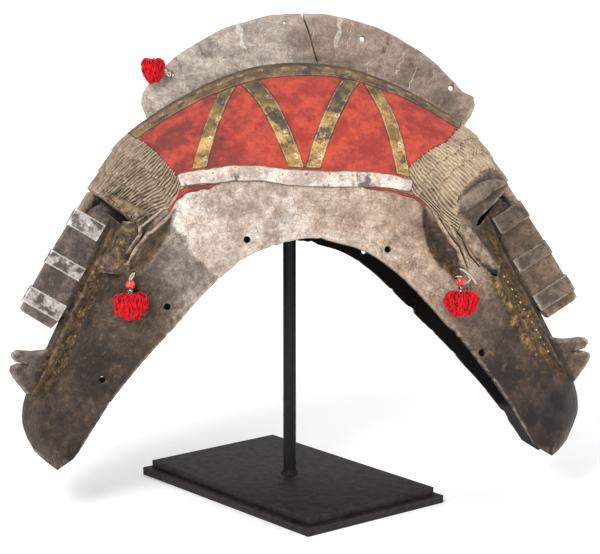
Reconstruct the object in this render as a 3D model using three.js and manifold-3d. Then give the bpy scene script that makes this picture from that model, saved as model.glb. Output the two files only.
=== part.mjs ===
// A two-faced helmet mask of carved wood, shaped like a steep saddle, on its museum stand.
// Units are millimetres, +Z is up and +X runs along the arch, from one face to the other.
// The origin is the middle of the underside of the base. The mask leans back a little on its rod.
import * as THREE from 'three';
import { mergeVertices } from 'three/addons/utils/BufferGeometryUtils.js';
import Module from 'manifold-3d';

// Stand
const BASE_LENGTH = 272;
const BASE_WIDTH = 175;
const BASE_LEDGE = 7;
const PLATE_THICKNESS = 8;
const BASE_TURN = THREE.MathUtils.degToRad(-56.8);
const ROD_RADIUS = 6.5;
const ROD_WELD_RADIUS = 8.5;
const ROD_WELD_HEIGHT = 2.5;
const SADDLE_THICKNESS = 5;

// Place of the mask: the middle of its lower edge, and how far it leans back
const MASK_X = 11;
const MASK_Z = 248;
const MASK_LEAN = THREE.MathUtils.degToRad(10.5);

// Gap between touching pieces
const GAP = 0.3;

// Carved body. Each station runs across the arch: its place along the half arch, the lower edge x and z,
// the corner of the side wall x and z, the middle line x and z, the half width, and the bow of the
// section, from 1 for a round dome to 2 for a straight slope.
const DOME_STATIONS = [
  [0.00, 0, 9.5, 0, 60, 0, 184, 90, 1.0],
  [0.12, 30, 4, 36, 60, 47, 179.5, 90.5, 1.0],
  [0.25, 58, -6, 73, 58, 95, 162, 91, 1.0],
  [0.38, 84, -25, 108, 48, 140, 137, 91, 1.0],
  [0.48, 100, -40, 132, 34, 176, 110, 90, 1.0],
  [0.56, 113, -54, 155, 19, 209, 62, 88, 1.0],
];
const FACE_STATIONS = [
  [0.575, 115, -56, 158, 14, 190, 33, 87, 1.6],
  [0.65, 133, -76, 174, -15, 208, -5, 83, 1.7],
  [0.72, 153, -97, 188, -38, 224, -36, 76, 1.7],
  [0.80, 172, -120, 206, -72, 243, -70, 66, 1.7],
  [0.88, 190, -142, 228, -108, 258, -100, 55, 1.7],
  [0.94, 206, -165, 248, -143, 275, -137, 44, 1.5],
  [0.975, 218, -184, 256, -174, 279, -168, 37, 1.3],
  [1.00, 228, -200, 245, -211, 268, -194, 31, 1.2],
];
const X_COLUMNS = [1, 3, 5];
const BROW = 0.56;
const FACE_TOP = 0.575;
const WALL = 14;
const ROOF_THICKNESS = 34;
const BROW_THICKNESS = 35;
const FACE_FACETS = 8;
const HOLLOW_END = 0.93;
const HOLLOW_FACETS = { along: 20, across: 10 };
// Places along the half arch from where the hollow narrows into the face, and from where the brow thickens
const NARROWING_START = 0.7;
const NARROWING = 0.6;
const BROW_START = 0.36;

// Facet lines of the dome, from its middle to the hair and from the side wall to the middle line
const DOME_FACETS = 5;
const ROWS = 12;

// Hair: overlapping tiers between the cloth and the brow, with locks along the arch
const HAIR_START = { left: 0.445, right: 0.40 };
const HAIR_TIERS = 3;
const TIER_LIFT = 2;
const LOCK_HEIGHT = 1.7;

// Crest plank
const CREST_THICKNESS = 12;
const CREST_RADIUS = 205;
const CREST_CENTRE = [4, 30];
const CREST_HOLES = [[-125, 175], [-12, 226], [66, 209], [155, 159]];
const CREST_HOLE_RADIUS = 2.8;

// Noses, mouths and eyes
const NOSE_HALF = 9;
const NOSE_FRONT = [[211, 60], [244, 8], [279, -53]];
const NOSE_BANDS = [[19, 38], [66, 81], [107, 125]];
const BAND_THICKNESS = 0.8;
const BAND_BOW = 1.8;
const BAND_DEPTH = 31;
const MOUTH_HALF = 16;
// Left eyes are blocks. Each level: z, back and front x, outer and inner y
const EYE_LEVELS = [
  [24, 156, 179, 86, 50],
  [4, 165, 192, 85, 52],
  [-12, 171, 201, 83, 56],
  [-22, 174, 198, 81, 60],
];

// Rounded bars on the surface, by [place along, height up the wall, half width, height above the wood]
const RIGHT_EYE = [[0.535, 0.93, 4, 4], [0.56, 0.96, 7.5, 8.5], [0.60, 0.99, 9, 11],
  [0.64, 1.03, 8.5, 12.5], [0.672, 1.06, 6.5, 11], [0.688, 1.075, 3, 6]];
const BROW_ROLLS = {
  left: [[0.525, 1.10, 3, 1], [0.542, 1.17, 6, 4.5], [0.547, 1.3, 6, 4], [0.55, 1.45, 4, 3.5]],
  right: [[0.502, 1.02, 3, 2], [0.515, 1.12, 8, 4.5], [0.525, 1.26, 9, 6], [0.535, 1.42, 7, 5],
    [0.548, 1.6, 4, 4]],
};
const EAR_RIMS = {
  left: [[0.462, 1.04, 1.5, 1], [0.50, 1.0, 2.6, 3.5], [0.553, 0.985, 3.2, 5.5], [0.60, 0.985, 3.2, 6],
    [0.64, 0.965, 2.6, 5], [0.66, 0.93, 1.5, 2]],
  right: [[0.425, 0.93, 1.5, 1], [0.455, 0.86, 2.6, 3.5], [0.49, 0.775, 3.2, 5.5], [0.53, 0.71, 3.2, 6],
    [0.585, 0.635, 2.8, 5.5], [0.618, 0.615, 2.0, 3]],
};
const BAR_ROOT = 3.5;

// Hollow of each ear, by [place along, height up the wall, half width up the wall, depth]
const EAR_HOLLOWS = {
  left: [[0.49, 0.80, 0.01, 1], [0.53, 0.80, 0.08, 4], [0.58, 0.80, 0.10, 6], [0.63, 0.80, 0.08, 5],
    [0.665, 0.80, 0.015, 1]],
  right: [[0.45, 0.60, 0.01, 1], [0.49, 0.60, 0.08, 4], [0.54, 0.60, 0.10, 6], [0.59, 0.60, 0.08, 5],
    [0.625, 0.60, 0.015, 1]],
};

// Fixing holes along the lower edge: place along the arch and height up the wall. The last is in the
// near wall alone.
const EDGE_HOLES = [[-0.863, 0.38], [-0.625, 0.25], [-0.245, 0.23], [0.315, 0.18]];
const NEAR_EDGE_HOLE = [0.769, 0.12];
const EDGE_HOLE_RADIUS = 3.4;
const EAR_HOLES = { left: [-0.647, 0.88], right: [0.604, 0.50] };
const EAR_HOLE_RADIUS = 2.6;

// Cloth and strips on the dome, by place along the arch and height over the dome
const CLOTH_MARGIN = 0.006;
const CLOTH_THICKNESS = 0.8;
const LOWER_BORDER_ROWS = [0, 1];
const STRIP_ROWS = [1, 8];
const UPPER_BORDER_ROWS = [8, 11];
const CLOTH_ROWS = [0, 9];
const STRIPS = [
  [-0.338, -0.195, 0.024],
  [-0.038, -0.135, 0.026],
  [0.012, 0.128, 0.024],
  [0.303, 0.182, 0.024],
];
const STRIP_THICKNESS = 0.9;
const STRIP_MARGIN = 0.005;

// Tassels: middle and width, height and thickness of each pompom, and the beads above two of them
const POMPOMS = {
  left: { middle: [-172, -91.5, -52], size: [34, 27, 20] },
  right: { middle: [144, -97, -56], size: [35, 28, 20] },
  crest: { size: [24, 24, 20] },
};
const POMPOM_DENT = { depth: 0.42, halfWidth: 0.35 };
const METAL_BEAD_SIZE = { radius: 2.6, length: 6 };
const RED_BEAD_LENGTH = 9;
const CORD_RADIUS = 0.9;

const WOOD = { color: 0x7d7064, roughness: 0.75, metalness: 0 };
const RED_CLOTH = { color: 0xb03a2e, roughness: 0.95, metalness: 0 };
const PRINTED_CLOTH = { color: 0x8a774a, roughness: 0.9, metalness: 0 };
const PALE_CLOTH = { color: 0xb5aba0, roughness: 0.9, metalness: 0 };
const SHEET_METAL = { color: 0x8f8c88, roughness: 0.45, metalness: 0.9 };
const RED_WOOL = { color: 0xd8142a, roughness: 1, metalness: 0 };
const RED_BEAD = { color: 0xc4402f, roughness: 0.4, metalness: 0 };
const METAL_BEAD = { color: 0x777b80, roughness: 0.35, metalness: 0.9 };
const CORD = { color: 0xd9cfc0, roughness: 0.9, metalness: 0 };
const BLACK_STEEL = { color: 0x262626, roughness: 0.5, metalness: 0.4 };

const wasm = await Module();
wasm.setup();

// Solids from closed meshes, and meshes back from solids
function toSolid(geometry) {
  const plain = geometry.clone();
  plain.deleteAttribute('normal');
  plain.deleteAttribute('uv');
  const merged = mergeVertices(plain, 1e-4);
  return new wasm.Manifold(new wasm.Mesh({
    numProp: 3,
    vertProperties: new Float32Array(merged.attributes.position.array),
    triVerts: new Uint32Array(merged.index.array),
  }));
}

function toGeometry(solid) {
  const mesh = solid.getMesh();
  const geometry = new THREE.BufferGeometry();
  geometry.setAttribute('position', new THREE.BufferAttribute(mesh.vertProperties, 3));
  geometry.setIndex(new THREE.BufferAttribute(mesh.triVerts, 1));
  geometry.computeVertexNormals();
  return geometry;
}

function addMesh(group, name, geometry, finish) {
  const mesh = new THREE.Mesh(geometry, new THREE.MeshStandardMaterial(finish));
  mesh.name = name;
  group.add(mesh);
  return mesh;
}

// A closed skin over rings of points, each ring with the same number of points
function loft(rings) {
  const count = rings[0].length;
  const points = rings.flat();
  const faces = [];
  for (let r = 0; r + 1 < rings.length; r += 1) {
    for (let k = 0; k < count; k += 1) {
      const a = r * count + k;
      const b = r * count + (k + 1) % count;
      faces.push(a, b, b + count, a, b + count, a + count);
    }
  }
  const ends = [0, (rings.length - 1) * count];
  ends.forEach((first, end) => {
    const flat = flatten(points.slice(first, first + count));
    for (const [i, j, k] of THREE.ShapeUtils.triangulateShape(flat, [])) {
      const turned = end === 0 ? [i, k, j] : [i, j, k];
      faces.push(...turned.map((n) => first + n));
    }
  });
  return closed(points, faces);
}

// A mesh of points and faces, facing outwards
function closed(points, faces) {
  const geometry = new THREE.BufferGeometry();
  const numbers = points.flatMap((p) => p.toArray());
  geometry.setAttribute('position', new THREE.Float32BufferAttribute(numbers, 3));
  geometry.setIndex(faces);
  return outward(geometry);
}

// The outline of a ring, seen square on
function flatten(ring) {
  const middle = ring.reduce((sum, p) => sum.add(p), new THREE.Vector3()).divideScalar(ring.length);
  const normal = new THREE.Vector3();
  ring.forEach((p, i) => {
    const next = ring[(i + 1) % ring.length];
    normal.add(p.clone().sub(middle).cross(next.clone().sub(middle)));
  });
  normal.normalize();
  const across = ring[0].clone().sub(middle).normalize();
  const up = normal.clone().cross(across);
  return ring.map((p) => {
    const arm = p.clone().sub(middle);
    return new THREE.Vector2(arm.dot(across), arm.dot(up));
  });
}

// Turns a skin that faces inwards the right way round
function outward(geometry) {
  const index = geometry.index.array;
  const at = (n) => new THREE.Vector3().fromBufferAttribute(geometry.attributes.position, n);
  let volume = 0;
  for (let i = 0; i < index.length; i += 3) {
    volume += at(index[i]).dot(at(index[i + 1]).cross(at(index[i + 2])));
  }
  if (volume < 0) {
    for (let i = 0; i < index.length; i += 3) {
      [index[i], index[i + 1]] = [index[i + 1], index[i]];
    }
  }
  geometry.computeVertexNormals();
  return geometry;
}

// A flat outline in X and Z, from y1 to y2
function plank(outline, y1, y2, holes = []) {
  const shape = new THREE.Shape(outline.map(([x, z]) => new THREE.Vector2(x, z)));
  shape.holes = holes.map(([x, z, radius]) => new THREE.Path().absarc(x, z, radius, 0, Math.PI * 2));
  const settings = { depth: y2 - y1, bevelEnabled: false, curveSegments: 5 };
  const geometry = new THREE.ExtrudeGeometry(shape, settings);
  geometry.rotateX(Math.PI / 2);
  geometry.translate(0, y2, 0);
  return outward(mergeVertices(stripped(geometry), 1e-4));
}

function stripped(geometry) {
  geometry.deleteAttribute('normal');
  geometry.deleteAttribute('uv');
  return geometry;
}

// The slope of one column of a station table. At the middle of the dome only x changes.
function slope(table, row, column) {
  if (row === 0 && table === DOME_STATIONS) {
    return X_COLUMNS.includes(column) ? table[1][column] / table[1][0] : 0;
  }
  const from = Math.max(row - 1, 0);
  const to = Math.min(row + 1, table.length - 1);
  return (table[to][column] - table[from][column]) / (table[to][0] - table[from][0]);
}

// A station between the given ones, by a smooth run through each column
function blend(table, s) {
  const last = table.length - 1;
  const place = Math.min(Math.max(s, table[0][0]), table[last][0]);
  let i = 0;
  while (i < last - 1 && place > table[i + 1][0]) {
    i += 1;
  }
  const span = table[i + 1][0] - table[i][0];
  const u = (place - table[i][0]) / span;
  return table[i].slice(1).map((start, n) => {
    const column = n + 1;
    const end = table[i + 1][column];
    const a = slope(table, i, column) * span;
    const b = slope(table, i + 1, column) * span;
    return (2 * u ** 3 - 3 * u ** 2 + 1) * start + (u ** 3 - 2 * u ** 2 + u) * a
      + (3 * u ** 2 - 2 * u ** 3) * end + (u ** 3 - u ** 2) * b;
  });
}

function station(s) {
  return blend(Math.abs(s) <= BROW ? DOME_STATIONS : FACE_STATIONS, Math.abs(s));
}

// A point of the outer surface: s runs along the arch, v runs 0 to 1 up the near wall, to 2 at the
// middle line and on to 4 at the lower edge of the far wall
function outer(s, v) {
  const far = v > 2;
  const up = far ? 4 - v : v;
  const [inX, inZ, sideX, sideZ, outX, outZ, half, bow] = station(s);
  let x = inX + (sideX - inX) * up;
  let z = inZ + (sideZ - inZ) * up;
  let y = -half;
  if (up > 1) {
    const angle = (up - 1) * Math.PI / 2;
    x = sideX + (outX - sideX) * Math.sin(angle) ** bow;
    z = sideZ + (outZ - sideZ) * Math.sin(angle) ** bow;
    y = -half * Math.max(Math.cos(angle), 0) ** bow;
  }
  return new THREE.Vector3(s < 0 ? -x : x, far ? -y : y, z);
}

// The same for the hollow inside
function inner(s, v) {
  const [inX, inZ, sideX, sideZ, outX, outZ, half, bow] = station(s);
  const low = new THREE.Vector2(inX, inZ);
  const side = new THREE.Vector2(sideX, sideZ).sub(low);
  const top = new THREE.Vector2(outX, outZ).sub(low);
  const narrow = 1 - NARROWING * THREE.MathUtils.smoothstep(Math.abs(s), NARROWING_START, HOLLOW_END);
  side.setLength((side.length() - WALL) * narrow);
  const brow = Math.abs(s) > BROW ? 0 : THREE.MathUtils.smoothstep(Math.abs(s), BROW_START, BROW);
  top.setLength((top.length() - ROOF_THICKNESS - BROW_THICKNESS * brow) * narrow);
  const up = v > 2 ? 4 - v : v;
  const angle = Math.max(up - 1, 0) * Math.PI / 2;
  const reach = Math.sin(angle) ** bow;
  const at = up <= 1 ? side.clone().multiplyScalar(up) : side.clone().lerp(top, reach);
  at.add(low);
  const y = -(half - WALL) * (up <= 1 ? 1 : Math.max(Math.cos(angle), 0) ** bow);
  return new THREE.Vector3(s < 0 ? -at.x : at.x, v > 2 ? -y : y, at.y);
}

// The outward direction of the outer surface
function facing(surface, s, v) {
  const step = 0.004;
  const clampedS = Math.min(Math.max(s, -1 + step), 1 - step);
  const edge = Math.min(Math.max(v, step), 4 - step);
  const along = surface(clampedS + step, edge).sub(surface(clampedS - step, edge));
  const across = surface(clampedS, edge + step).sub(surface(clampedS, edge - step));
  return along.cross(across).normalize();
}

// How far the hair stands out: each tier rises towards its cut lower end, and its locks run along the arch
function hairLift(s, v) {
  const start = s < 0 ? HAIR_START.left : HAIR_START.right;
  const place = (Math.abs(s) - start) / (BROW - start) * HAIR_TIERS;
  const up = v > 2 ? 4 - v : v;
  if (place <= 0 || Math.abs(s) > BROW || up <= 1) return 0;
  const lock = 1 - Math.abs(((up - 1) * ROWS) % 2 - 1);
  return TIER_LIFT * (place - Math.ceil(place) + 1) + LOCK_HEIGHT * (lock - 0.5);
}

function skin(s, v) {
  return outer(s, v).addScaledVector(facing(outer, s, v), hairLift(s, v));
}

function spread(from, to, steps) {
  return Array.from({ length: steps + 1 }, (_, i) => from + (to - from) * i / steps);
}

// Body, with the hair's tiers
function bodySolid() {
  const half = (start) => {
    const tier = (BROW - start) / HAIR_TIERS;
    const cut = 0.0015;
    const tiers = spread(0, HAIR_TIERS - 1, HAIR_TIERS - 1)
      .flatMap((n) => [start + n * tier + cut, start + (n + 1) * tier]);
    return [...spread(0, start - cut, DOME_FACETS).slice(1), ...tiers, ...spread(FACE_TOP, 1, FACE_FACETS)];
  };
  const places = [...half(HAIR_START.left).map((s) => -s).reverse(), 0, ...half(HAIR_START.right)];
  const columns = [...spread(0, 1, 3), ...spread(1, 3, 2 * ROWS).slice(1), ...spread(3, 4, 3).slice(1)];
  return toSolid(loft(places.map((s) => columns.map((v) => skin(s, v)))));
}

// The hollow, carried on past the lower edge so that it opens there
function hollowSolid() {
  const places = spread(-HOLLOW_END, HOLLOW_END, HOLLOW_FACETS.along);
  const columns = [0, ...spread(1, 3, HOLLOW_FACETS.across), 4];
  const past = 12;
  return toSolid(loft(places.map((s) => {
    const ring = columns.map((v) => inner(s, v));
    const [inX, inZ, sideX, sideZ] = station(s);
    const down = new THREE.Vector2(inX - sideX, inZ - sideZ).setLength(past);
    for (const i of [0, ring.length - 1]) {
      ring[i].x += s < 0 ? -down.x : down.x;
      ring[i].z += down.y;
    }
    return ring;
  })));
}

// Crest plank, with its holes, its split and its broken tip
function crestSolid() {
  const [cx, cz] = CREST_CENTRE;
  const arc = spread(2.40, 0.66, 14).map((angle) => [
    cx + CREST_RADIUS * Math.cos(angle), cz + CREST_RADIUS * Math.sin(angle)]);
  const outline = [[-148, 118], [-153, 138], [-156, 152], [-154, 160], ...arc, [176, 142], [174, 130],
    [160, 106], [0, 160]];
  const board = plank(outline, -CREST_THICKNESS / 2, CREST_THICKNESS / 2,
    CREST_HOLES.map(([x, z]) => [x, z, CREST_HOLE_RADIUS]));
  const split = plank([[4.2, 240], [8, 240], [11.5, 218], [14.8, 204], [14.3, 204], [9.5, 218]], -20, 20);
  return toSolid(board).subtract(toSolid(split));
}

// Nose slab: it runs straight on from the brow and ends short of the mouth
function noseSolid(side) {
  const outline = [[190, 60], ...NOSE_FRONT, [249, -74], [214, -40], [182, 30]];
  return toSolid(plank(outline.map(([x, z]) => [x * side, z]), -NOSE_HALF, NOSE_HALF));
}

// Mouth: two lips, open like a beak
function mouthSolid(side) {
  const outline = [[244, -90], [257, -95], [285, -95], [288, -99], [284, -105], [270, -108.5], [284, -108],
    [290, -112], [284, -124], [274, -138], [255, -142]];
  return toSolid(plank(outline.map(([x, z]) => [x * side, z]), -MOUTH_HALF, MOUTH_HALF));
}

// Eye block under the brow, narrower at its lower end and rounded in front
function eyeBlock(side, near) {
  const rings = EYE_LEVELS.map(([z, back, front, outside, inside]) => {
    const bulge = (3 * inside + 5 * outside) / 8;
    return [[back, outside], [front - 7, outside - 1], [front, bulge], [front - 3, inside], [back, inside]]
      .map(([x, y]) => new THREE.Vector3(x * side, -y * near, z));
  });
  return toSolid(loft(rings));
}

// A rounded bar that lies on the surface
function bar(path, side, near) {
  const middles = path.map(([s, v]) => outer(s * side, v));
  const section = [[-1, -1], [-0.8, 0.6], [0, 1], [0.8, 0.6], [1, -1]];
  const rings = path.map(([s, v, half, height], i) => {
    const out = facing(outer, s * side, v);
    const before = middles[Math.max(i - 1, 0)];
    const after = middles[Math.min(i + 1, path.length - 1)];
    const sideways = out.clone().cross(after.clone().sub(before).normalize());
    return section.map(([across, up]) => {
      const point = middles[i].clone().addScaledVector(sideways, half * across)
        .addScaledVector(out, up * (up > 0 ? height : BAR_ROOT));
      return new THREE.Vector3(point.x, point.y * near, point.z);
    });
  });
  return toSolid(loft(rings));
}

// The leaf-shaped hollow of an ear
function earHollow(path, side, near) {
  const past = 3;
  const rings = path.map(([s, v, half, depth]) => {
    const place = (height, lift) => {
      const point = outer(s * side, height).addScaledVector(facing(outer, s * side, height), lift);
      return new THREE.Vector3(point.x, point.y * near, point.z);
    };
    return [place(v - half, past), place(v - half * 0.5, -depth), place(v + half * 0.6, -depth),
      place(v + half * 1.1, past)];
  });
  return toSolid(loft(rings));
}

// Eye slot under the brow
function eyeSlot(side, near) {
  const outline = [[163, 19], [165, 26], [198, 53], [205, 57], [200, 46], [171, 20]];
  const [outside, inside] = [79, 13];
  return toSolid(plank(outline.map(([x, z]) => [x * side, z]), near > 0 ? -outside : inside,
    near > 0 ? -inside : outside));
}

// A hole along Y through both walls, or through the near one alone
function drill([s, v], radius, both) {
  const at = outer(s, v);
  const length = 120;
  const hole = new THREE.CylinderGeometry(radius, radius, both ? 2 * length : length, 8);
  hole.translate(at.x, both ? 0 : -length / 2, at.z);
  return toSolid(hole);
}

function maskSolid() {
  let solid = bodySolid().subtract(hollowSolid()).add(crestSolid());
  for (const [name, side] of [['left', -1], ['right', 1]]) {
    solid = solid.add(noseSolid(side)).add(mouthSolid(side));
    for (const near of [1, -1]) {
      solid = solid.add(bar(BROW_ROLLS[name], side, near));
      solid = solid.subtract(eyeSlot(side, near));
      solid = solid.add(side < 0 ? eyeBlock(side, near) : bar(RIGHT_EYE, side, near));
      solid = solid.subtract(earHollow(EAR_HOLLOWS[name], side, near));
      solid = solid.add(bar(EAR_RIMS[name], side, near));
    }
  }
  for (const place of EDGE_HOLES) {
    solid = solid.subtract(drill(place, EDGE_HOLE_RADIUS, true));
  }
  solid = solid.subtract(drill(NEAR_EDGE_HOLE, EDGE_HOLE_RADIUS, false));
  for (const place of Object.values(EAR_HOLES)) {
    solid = solid.subtract(drill(place, EAR_HOLE_RADIUS, false));
  }
  return solid;
}

// A thin sheet on the dome over some of its rows, at a height above the wood. Places gives the columns
// for a share of the way up.
function sheet(places, [row1, row2], margin, height, thickness, near) {
  const rows = spread(row1, row2, row2 - row1).map((row) => 1 + row / ROWS);
  rows[0] += margin;
  rows[rows.length - 1] -= margin;
  const level = (lift) => rows.map((v, i) => places(i / (rows.length - 1)).map((s) => {
    const point = outer(s, v).addScaledVector(facing(outer, s, v), height + lift);
    return new THREE.Vector3(point.x, point.y * near, point.z);
  }));
  return slab(level(0), level(thickness));
}

// A closed slab between two grids of points
function slab(under, over) {
  const rows = under.length;
  const columns = under[0].length;
  const points = [...under.flat(), ...over.flat()];
  const faces = [];
  const quad = (a, b, c, d) => faces.push(a, b, c, a, c, d);
  const at = (layer, r, c) => layer * rows * columns + r * columns + c;
  for (let r = 0; r + 1 < rows; r += 1) {
    for (let c = 0; c + 1 < columns; c += 1) {
      quad(at(0, r, c), at(0, r + 1, c), at(0, r + 1, c + 1), at(0, r, c + 1));
      quad(at(1, r, c), at(1, r, c + 1), at(1, r + 1, c + 1), at(1, r + 1, c));
    }
  }
  for (let c = 0; c + 1 < columns; c += 1) {
    quad(at(0, 0, c), at(0, 0, c + 1), at(1, 0, c + 1), at(1, 0, c));
    quad(at(0, rows - 1, c + 1), at(0, rows - 1, c), at(1, rows - 1, c), at(1, rows - 1, c + 1));
  }
  for (let r = 0; r + 1 < rows; r += 1) {
    quad(at(0, r + 1, 0), at(0, r, 0), at(1, r, 0), at(1, r + 1, 0));
    const last = columns - 1;
    quad(at(0, r, last), at(0, r + 1, last), at(1, r + 1, last), at(1, r, last));
  }
  return closed(points, faces);
}

function addCloths(group, name, near) {
  const { left, right } = HAIR_START;
  const along = [...spread(-left, 0, DOME_FACETS), ...spread(0, right, DOME_FACETS).slice(1)];
  along[0] += CLOTH_MARGIN;
  along[along.length - 1] -= CLOTH_MARGIN;
  const over = GAP + CLOTH_THICKNESS + GAP;
  const lay = (piece, places, rows, margin, height, thickness, finish) => addMesh(
    group, piece, sheet(places, rows, margin, height, thickness, near), finish);
  lay(`red_cloth_${name}`, () => along, CLOTH_ROWS, 0, GAP, CLOTH_THICKNESS, RED_CLOTH);
  lay(`lower_border_${name}`, () => along, LOWER_BORDER_ROWS, 0, over, STRIP_THICKNESS, PALE_CLOTH);
  lay(`upper_border_${name}`, () => along, UPPER_BORDER_ROWS, 0, over, STRIP_THICKNESS, PRINTED_CLOTH);
  STRIPS.forEach(([foot, head, half], i) => {
    const places = (t) => spread(foot + (head - foot) * t - half, foot + (head - foot) * t + half, 2);
    lay(`strip_${name}_${i + 1}`, places, STRIP_ROWS, STRIP_MARGIN, over, STRIP_THICKNESS, PRINTED_CLOTH);
  });
}

// Thin metal bands, folded round the front of the nose and down both its sides
function addNoseBands(group, name, side) {
  const [topX, topZ] = NOSE_FRONT[0];
  const [footX, footZ] = NOSE_FRONT[2];
  const length = Math.hypot(footX - topX, footZ - topZ);
  const down = new THREE.Vector2((footX - topX) / length, (footZ - topZ) / length);
  const front = new THREE.Vector2(-down.y, down.x);
  const inside = NOSE_HALF + GAP;
  const outside = inside + BAND_THICKNESS;
  const crown = BAND_BOW + BAND_THICKNESS;
  NOSE_BANDS.forEach(([from, to], i) => {
    const profile = [[-BAND_DEPTH, -outside], [crown, -outside], [crown, outside], [-BAND_DEPTH, outside],
      [-BAND_DEPTH, inside], [BAND_BOW, inside], [BAND_BOW, -inside], [-BAND_DEPTH, -inside]];
    const rings = [from, to].map((along) => profile.map(([out, y]) => new THREE.Vector3(
      side * (topX + down.x * along + front.x * out), y, topZ + down.y * along + front.y * out)));
    addMesh(group, `nose_band_${name}_${i + 1}`, loft(rings), SHEET_METAL);
  });
}

// A pompom with a dent where its cord comes out
function pompom([width, height, thickness]) {
  const geometry = new THREE.SphereGeometry(1, 10, 7);
  geometry.rotateX(Math.PI / 2);
  const position = geometry.attributes.position;
  for (let i = 0; i < position.count; i += 1) {
    const x = position.getX(i);
    const z = position.getZ(i);
    const dent = z > 0 ? POMPOM_DENT.depth * z * Math.exp(-((x / POMPOM_DENT.halfWidth) ** 2)) : 0;
    position.setXYZ(i, x * width / 2, position.getY(i) * thickness / 2, (z - dent) * height / 2);
  }
  geometry.computeVertexNormals();
  return geometry;
}

function tube(points, radius) {
  const curve = new THREE.CatmullRomCurve3(points.map((p) => new THREE.Vector3(...p)));
  const section = new THREE.Shape().absarc(0, 0, radius, 0, Math.PI * 2);
  const settings = { steps: points.length * 2, curveSegments: 3, extrudePath: curve };
  return new THREE.ExtrudeGeometry(section, settings);
}

// Ear tassel: a cord out of its hole, a red bead, a metal bead and a wool pompom, one under the other
function addEarTassel(group, name) {
  const { middle: [x, y, z], size } = POMPOMS[name];
  const { radius, length } = METAL_BEAD_SIZE;
  const tiedAt = z + size[1] * 0.35;
  const metalZ = tiedAt + GAP + length / 2;
  const redZ = metalZ + length / 2 + GAP + RED_BEAD_LENGTH / 2;
  addMesh(group, `pompom_${name}`, pompom(size), RED_WOOL).position.set(x, y, z);
  const metal = new THREE.CylinderGeometry(radius, radius, length, 8).rotateX(Math.PI / 2);
  addMesh(group, `metal_bead_${name}`, metal, METAL_BEAD).position.set(x, y, metalZ);
  const red = new THREE.SphereGeometry(RED_BEAD_LENGTH / 2, 8, 6).rotateX(Math.PI / 2);
  addMesh(group, `red_bead_${name}`, red, RED_BEAD).position.set(x, y, redZ);
  const hole = outer(...EAR_HOLES[name]);
  const start = redZ + RED_BEAD_LENGTH / 2 + GAP;
  const route = [[x, y, start], [(x + hole.x) / 2, y, (start + hole.z) / 2 + 1],
    [hole.x, hole.y - 2.5, hole.z], [hole.x, hole.y + WALL / 2, hole.z]];
  addMesh(group, `cord_${name}`, tube(route, CORD_RADIUS), CORD);
}

// Crest tassel: a pompom tied close to the end of the plank, through its first hole
function addCrestTassel(group) {
  const [holeX, holeZ] = CREST_HOLES[0];
  const { size } = POMPOMS.crest;
  const [width, , thickness] = size;
  const middle = [holeX - 19, -CREST_THICKNESS / 2 - GAP - thickness / 2, holeZ + 3];
  addMesh(group, 'pompom_crest', pompom(size), RED_WOOL).position.set(...middle);
  const end = middle[0] + width / 2 + CORD_RADIUS + GAP;
  const route = [[end, middle[1], middle[2] - 1], [end + 3, -CREST_THICKNESS, holeZ + 1],
    [holeX, -CREST_THICKNESS / 2 - 2, holeZ], [holeX, CREST_THICKNESS / 2, holeZ]];
  addMesh(group, 'cord_crest', tube(route, CORD_RADIUS), CORD);
}

// Stand
function addStand(group) {
  const thickness = PLATE_THICKNESS - GAP / 2;
  const plate = (name, inset, z) => {
    const box = new THREE.BoxGeometry(BASE_LENGTH - 2 * inset, BASE_WIDTH - 2 * inset, thickness);
    const mesh = addMesh(group, name, box, BLACK_STEEL);
    mesh.rotation.z = BASE_TURN;
    mesh.position.z = z;
  };
  plate('base_lower', 0, thickness / 2);
  plate('base_upper', BASE_LEDGE, 2 * PLATE_THICKNESS - thickness / 2);
  addMesh(group, 'rod', rodGeometry(), BLACK_STEEL);
}

// From the mask's own frame to the stand's
function standing(point) {
  return point.clone().applyAxisAngle(new THREE.Vector3(1, 0, 0), -MASK_LEAN)
    .add(new THREE.Vector3(MASK_X, 0, MASK_Z));
}

// The rod ends in a small curved saddle, which lies against the roof of the hollow
function rodGeometry() {
  const step = 2 * HOLLOW_END / HOLLOW_FACETS.along;
  const rise = 2 / HOLLOW_FACETS.across;
  const level = (lift) => [2 - 2 * rise, 2 - rise, 2].map((v) => [-step, 0].map((s) => standing(
    inner(s, v).addScaledVector(facing(inner, s, v), -lift))));
  const clear = 2 * GAP;
  const saddle = slab(level(clear + SADDLE_THICKNESS), level(clear));
  const under = standing(inner(-step / 2, 2 - rise)).z - SADDLE_THICKNESS;
  const foot = 2 * PLATE_THICKNESS + GAP;
  const profile = [[0, foot], [ROD_WELD_RADIUS, foot], [ROD_RADIUS, foot + ROD_WELD_HEIGHT],
    [ROD_RADIUS, under], [0, under]].map(([r, z]) => new THREE.Vector2(r, z));
  const rod = new THREE.LatheGeometry(profile, 16).rotateX(Math.PI / 2);
  return toGeometry(toSolid(outward(mergeVertices(stripped(rod), 1e-4))).add(toSolid(saddle)));
}

const object = new THREE.Group();
addStand(object);

const mask = new THREE.Group();
mask.position.set(MASK_X, 0, MASK_Z);
mask.rotation.x = -MASK_LEAN;
object.add(mask);

addMesh(mask, 'mask', toGeometry(maskSolid()), WOOD);
for (const [name, near] of [['near', 1], ['far', -1]]) {
  addCloths(mask, name, near);
}
for (const [name, side] of [['left', -1], ['right', 1]]) {
  addNoseBands(mask, name, side);
}
addEarTassel(mask, 'left');
addEarTassel(mask, 'right');
addCrestTassel(mask);

export default object;
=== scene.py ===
import math
import random

import bmesh
import bpy
import numpy as np
from mathutils import Matrix, Vector, bvhtree, geometry, kdtree, noise


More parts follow.
